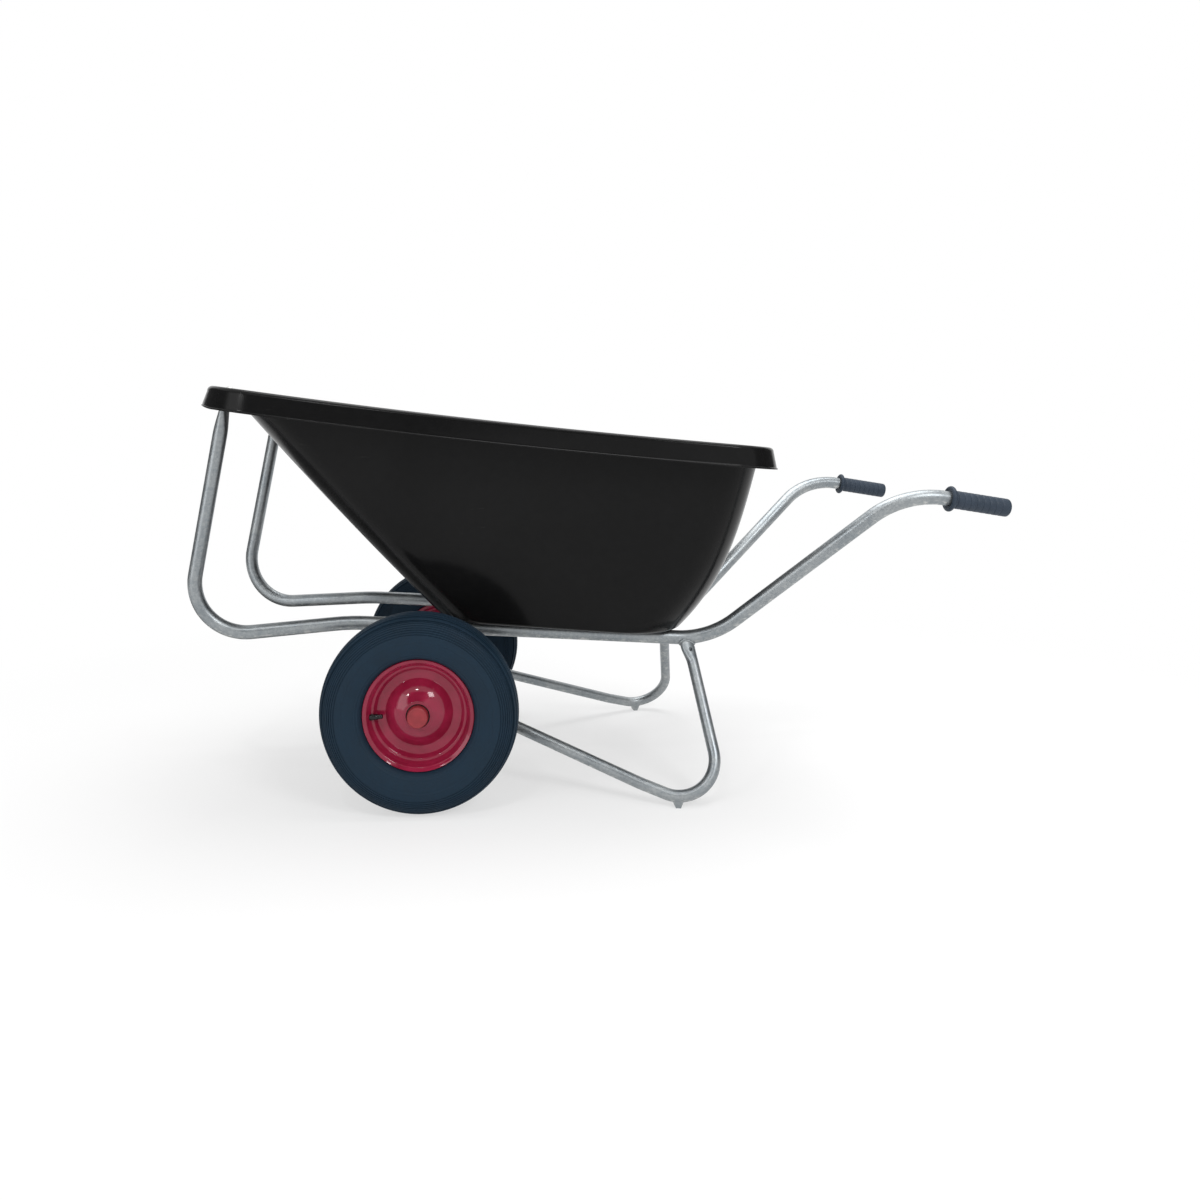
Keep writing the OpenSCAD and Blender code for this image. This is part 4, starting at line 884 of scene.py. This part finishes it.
def card(name, corners, flag=False):
    """A dark card beside the set, which the camera looks through.

    A flag shows in reflections only, and takes no light from the floor.
    """
    mat = bpy.data.materials.new(name)
    mat.use_nodes = True
    tree = mat.node_tree
    tree.nodes["Principled BSDF"].inputs["Base Color"].default_value = (0.10, 0.10, 0.10, 1)
    clear = tree.nodes.new("ShaderNodeBsdfTransparent")
    choice = tree.nodes.new("ShaderNodeMixShader")
    rays = tree.nodes.new("ShaderNodeLightPath")
    dark = tree.nodes["Principled BSDF"].outputs[0]
    low, high = (clear.outputs[0], dark) if flag else (dark, clear.outputs[0])
    tree.links.new(rays.outputs["Is Glossy Ray" if flag else "Is Camera Ray"], choice.inputs[0])
    tree.links.new(low, choice.inputs[1])
    tree.links.new(high, choice.inputs[2])
    tree.links.new(choice.outputs[0], tree.nodes["Material Output"].inputs["Surface"])
    mesh = bpy.data.meshes.new(name)
    mesh.from_pydata(corners, [], [(0, 1, 2, 3)])
    mesh.materials.append(mat)
    obj = bpy.data.objects.new(name, mesh)
    bpy.context.scene.collection.objects.link(obj)


card("card_near", [(-3.5, -4.2, 1.4), (3.5, -4.2, 2.7), (3.5, -4.2, 4.6), (-3.5, -4.2, 4.6)])
card("card_floor", [(-1.8, -0.05, 0.003), (-0.55, -0.05, 0.003), (-0.55, 2.4, 0.003),
                    (-1.8, 2.4, 0.003)], flag=True)
for end_name, x in (("card_left", -3.4), ("card_right", 3.4)):
    card(end_name, [(x, -1.6, 0.05), (x, 2.4, 0.05), (x, 2.4, 3.0), (x, -1.6, 3.0)])


def shows_white(tree):
    """1 for the rays that show the background: camera, glossy and transmission rays."""
    path = tree.nodes.new("ShaderNodeLightPath")
    total = None
    for ray in ("Is Camera Ray", "Is Glossy Ray", "Is Transmission Ray"):
        if total is None:
            total = path.outputs[ray]
            continue
        made = tree.nodes.new("ShaderNodeMath")
        made.operation = "MAXIMUM"
        tree.links.new(total, made.inputs[0])
        tree.links.new(path.outputs[ray], made.inputs[1])
        total = made.outputs[0]
    return total


world_data = bpy.data.worlds.new("studio")
bpy.context.scene.world = world_data
world_data.use_nodes = True
wt = world_data.node_tree
back = wt.nodes["Background"]
back.inputs["Color"].default_value = (1, 1, 1, 1)
strength = wt.nodes.new("ShaderNodeMapRange")
wt.links.new(shows_white(wt), strength.inputs["Value"])
strength.inputs["To Min"].default_value = 0.55
strength.inputs["To Max"].default_value = 1.0
wt.links.new(strength.outputs[0], back.inputs["Strength"])

floor_mat = bpy.data.materials.new("floor")
floor_mat.use_nodes = True
ft = floor_mat.node_tree
paint = ft.nodes["Principled BSDF"]
paint.inputs["Base Color"].default_value = (0.93, 0.93, 0.93, 1)
paint.inputs["Roughness"].default_value = 0.9
paint.inputs["Specular IOR Level"].default_value = 0.0
far = ft.nodes.new("ShaderNodeEmission")
blend = ft.nodes.new("ShaderNodeMixShader")
where = ft.nodes.new("ShaderNodeTexCoord")
reach = ft.nodes.new("ShaderNodeVectorMath")
reach.operation = "LENGTH"
fade = ft.nodes.new("ShaderNodeMapRange")
fade.interpolation_type = "SMOOTHSTEP"
fade.inputs["From Min"].default_value = 0.6
fade.inputs["From Max"].default_value = 2.2
fade.inputs["To Min"].default_value = 0.6
ft.links.new(where.outputs["Object"], reach.inputs[0])
ft.links.new(reach.outputs["Value"], fade.inputs["Value"])
both = ft.nodes.new("ShaderNodeMath")
both.operation = "MULTIPLY"
ft.links.new(fade.outputs[0], both.inputs[0])
ft.links.new(shows_white(ft), both.inputs[1])
ft.links.new(both.outputs[0], blend.inputs[0])
ft.links.new(paint.outputs[0], blend.inputs[1])
ft.links.new(far.outputs[0], blend.inputs[2])
ft.links.new(blend.outputs[0], ft.nodes["Material Output"].inputs["Surface"])
floor_mesh = bpy.data.meshes.new("floor")
floor_mesh.from_pydata([(-30, -30, 0), (30, -30, 0), (30, 30, 0), (-30, 30, 0)], [], [(0, 1, 2, 3)])
floor_mesh.materials.append(floor_mat)
floor = bpy.data.objects.new("floor", floor_mesh)
bpy.context.scene.collection.objects.link(floor)

cam_data = bpy.data.cameras.new("camera")
cam_data.sensor_width, cam_data.lens = 36.0, 26.78
cam_data.shift_x, cam_data.shift_y = 0.0725, -0.1344
cam = bpy.data.objects.new("camera", cam_data)
cam.location = (AXLE_X / 1000 + 0.2025, -2.1, 0.7421)
roll = Matrix.Rotation(-0.027, 3, "Z")
cam.rotation_euler = (Matrix.Rotation(math.pi / 2, 3, "X") @ roll).to_euler()
bpy.context.scene.collection.objects.link(cam)
bpy.context.scene.camera = cam
bpy.context.scene.view_settings.view_transform = "Standard"
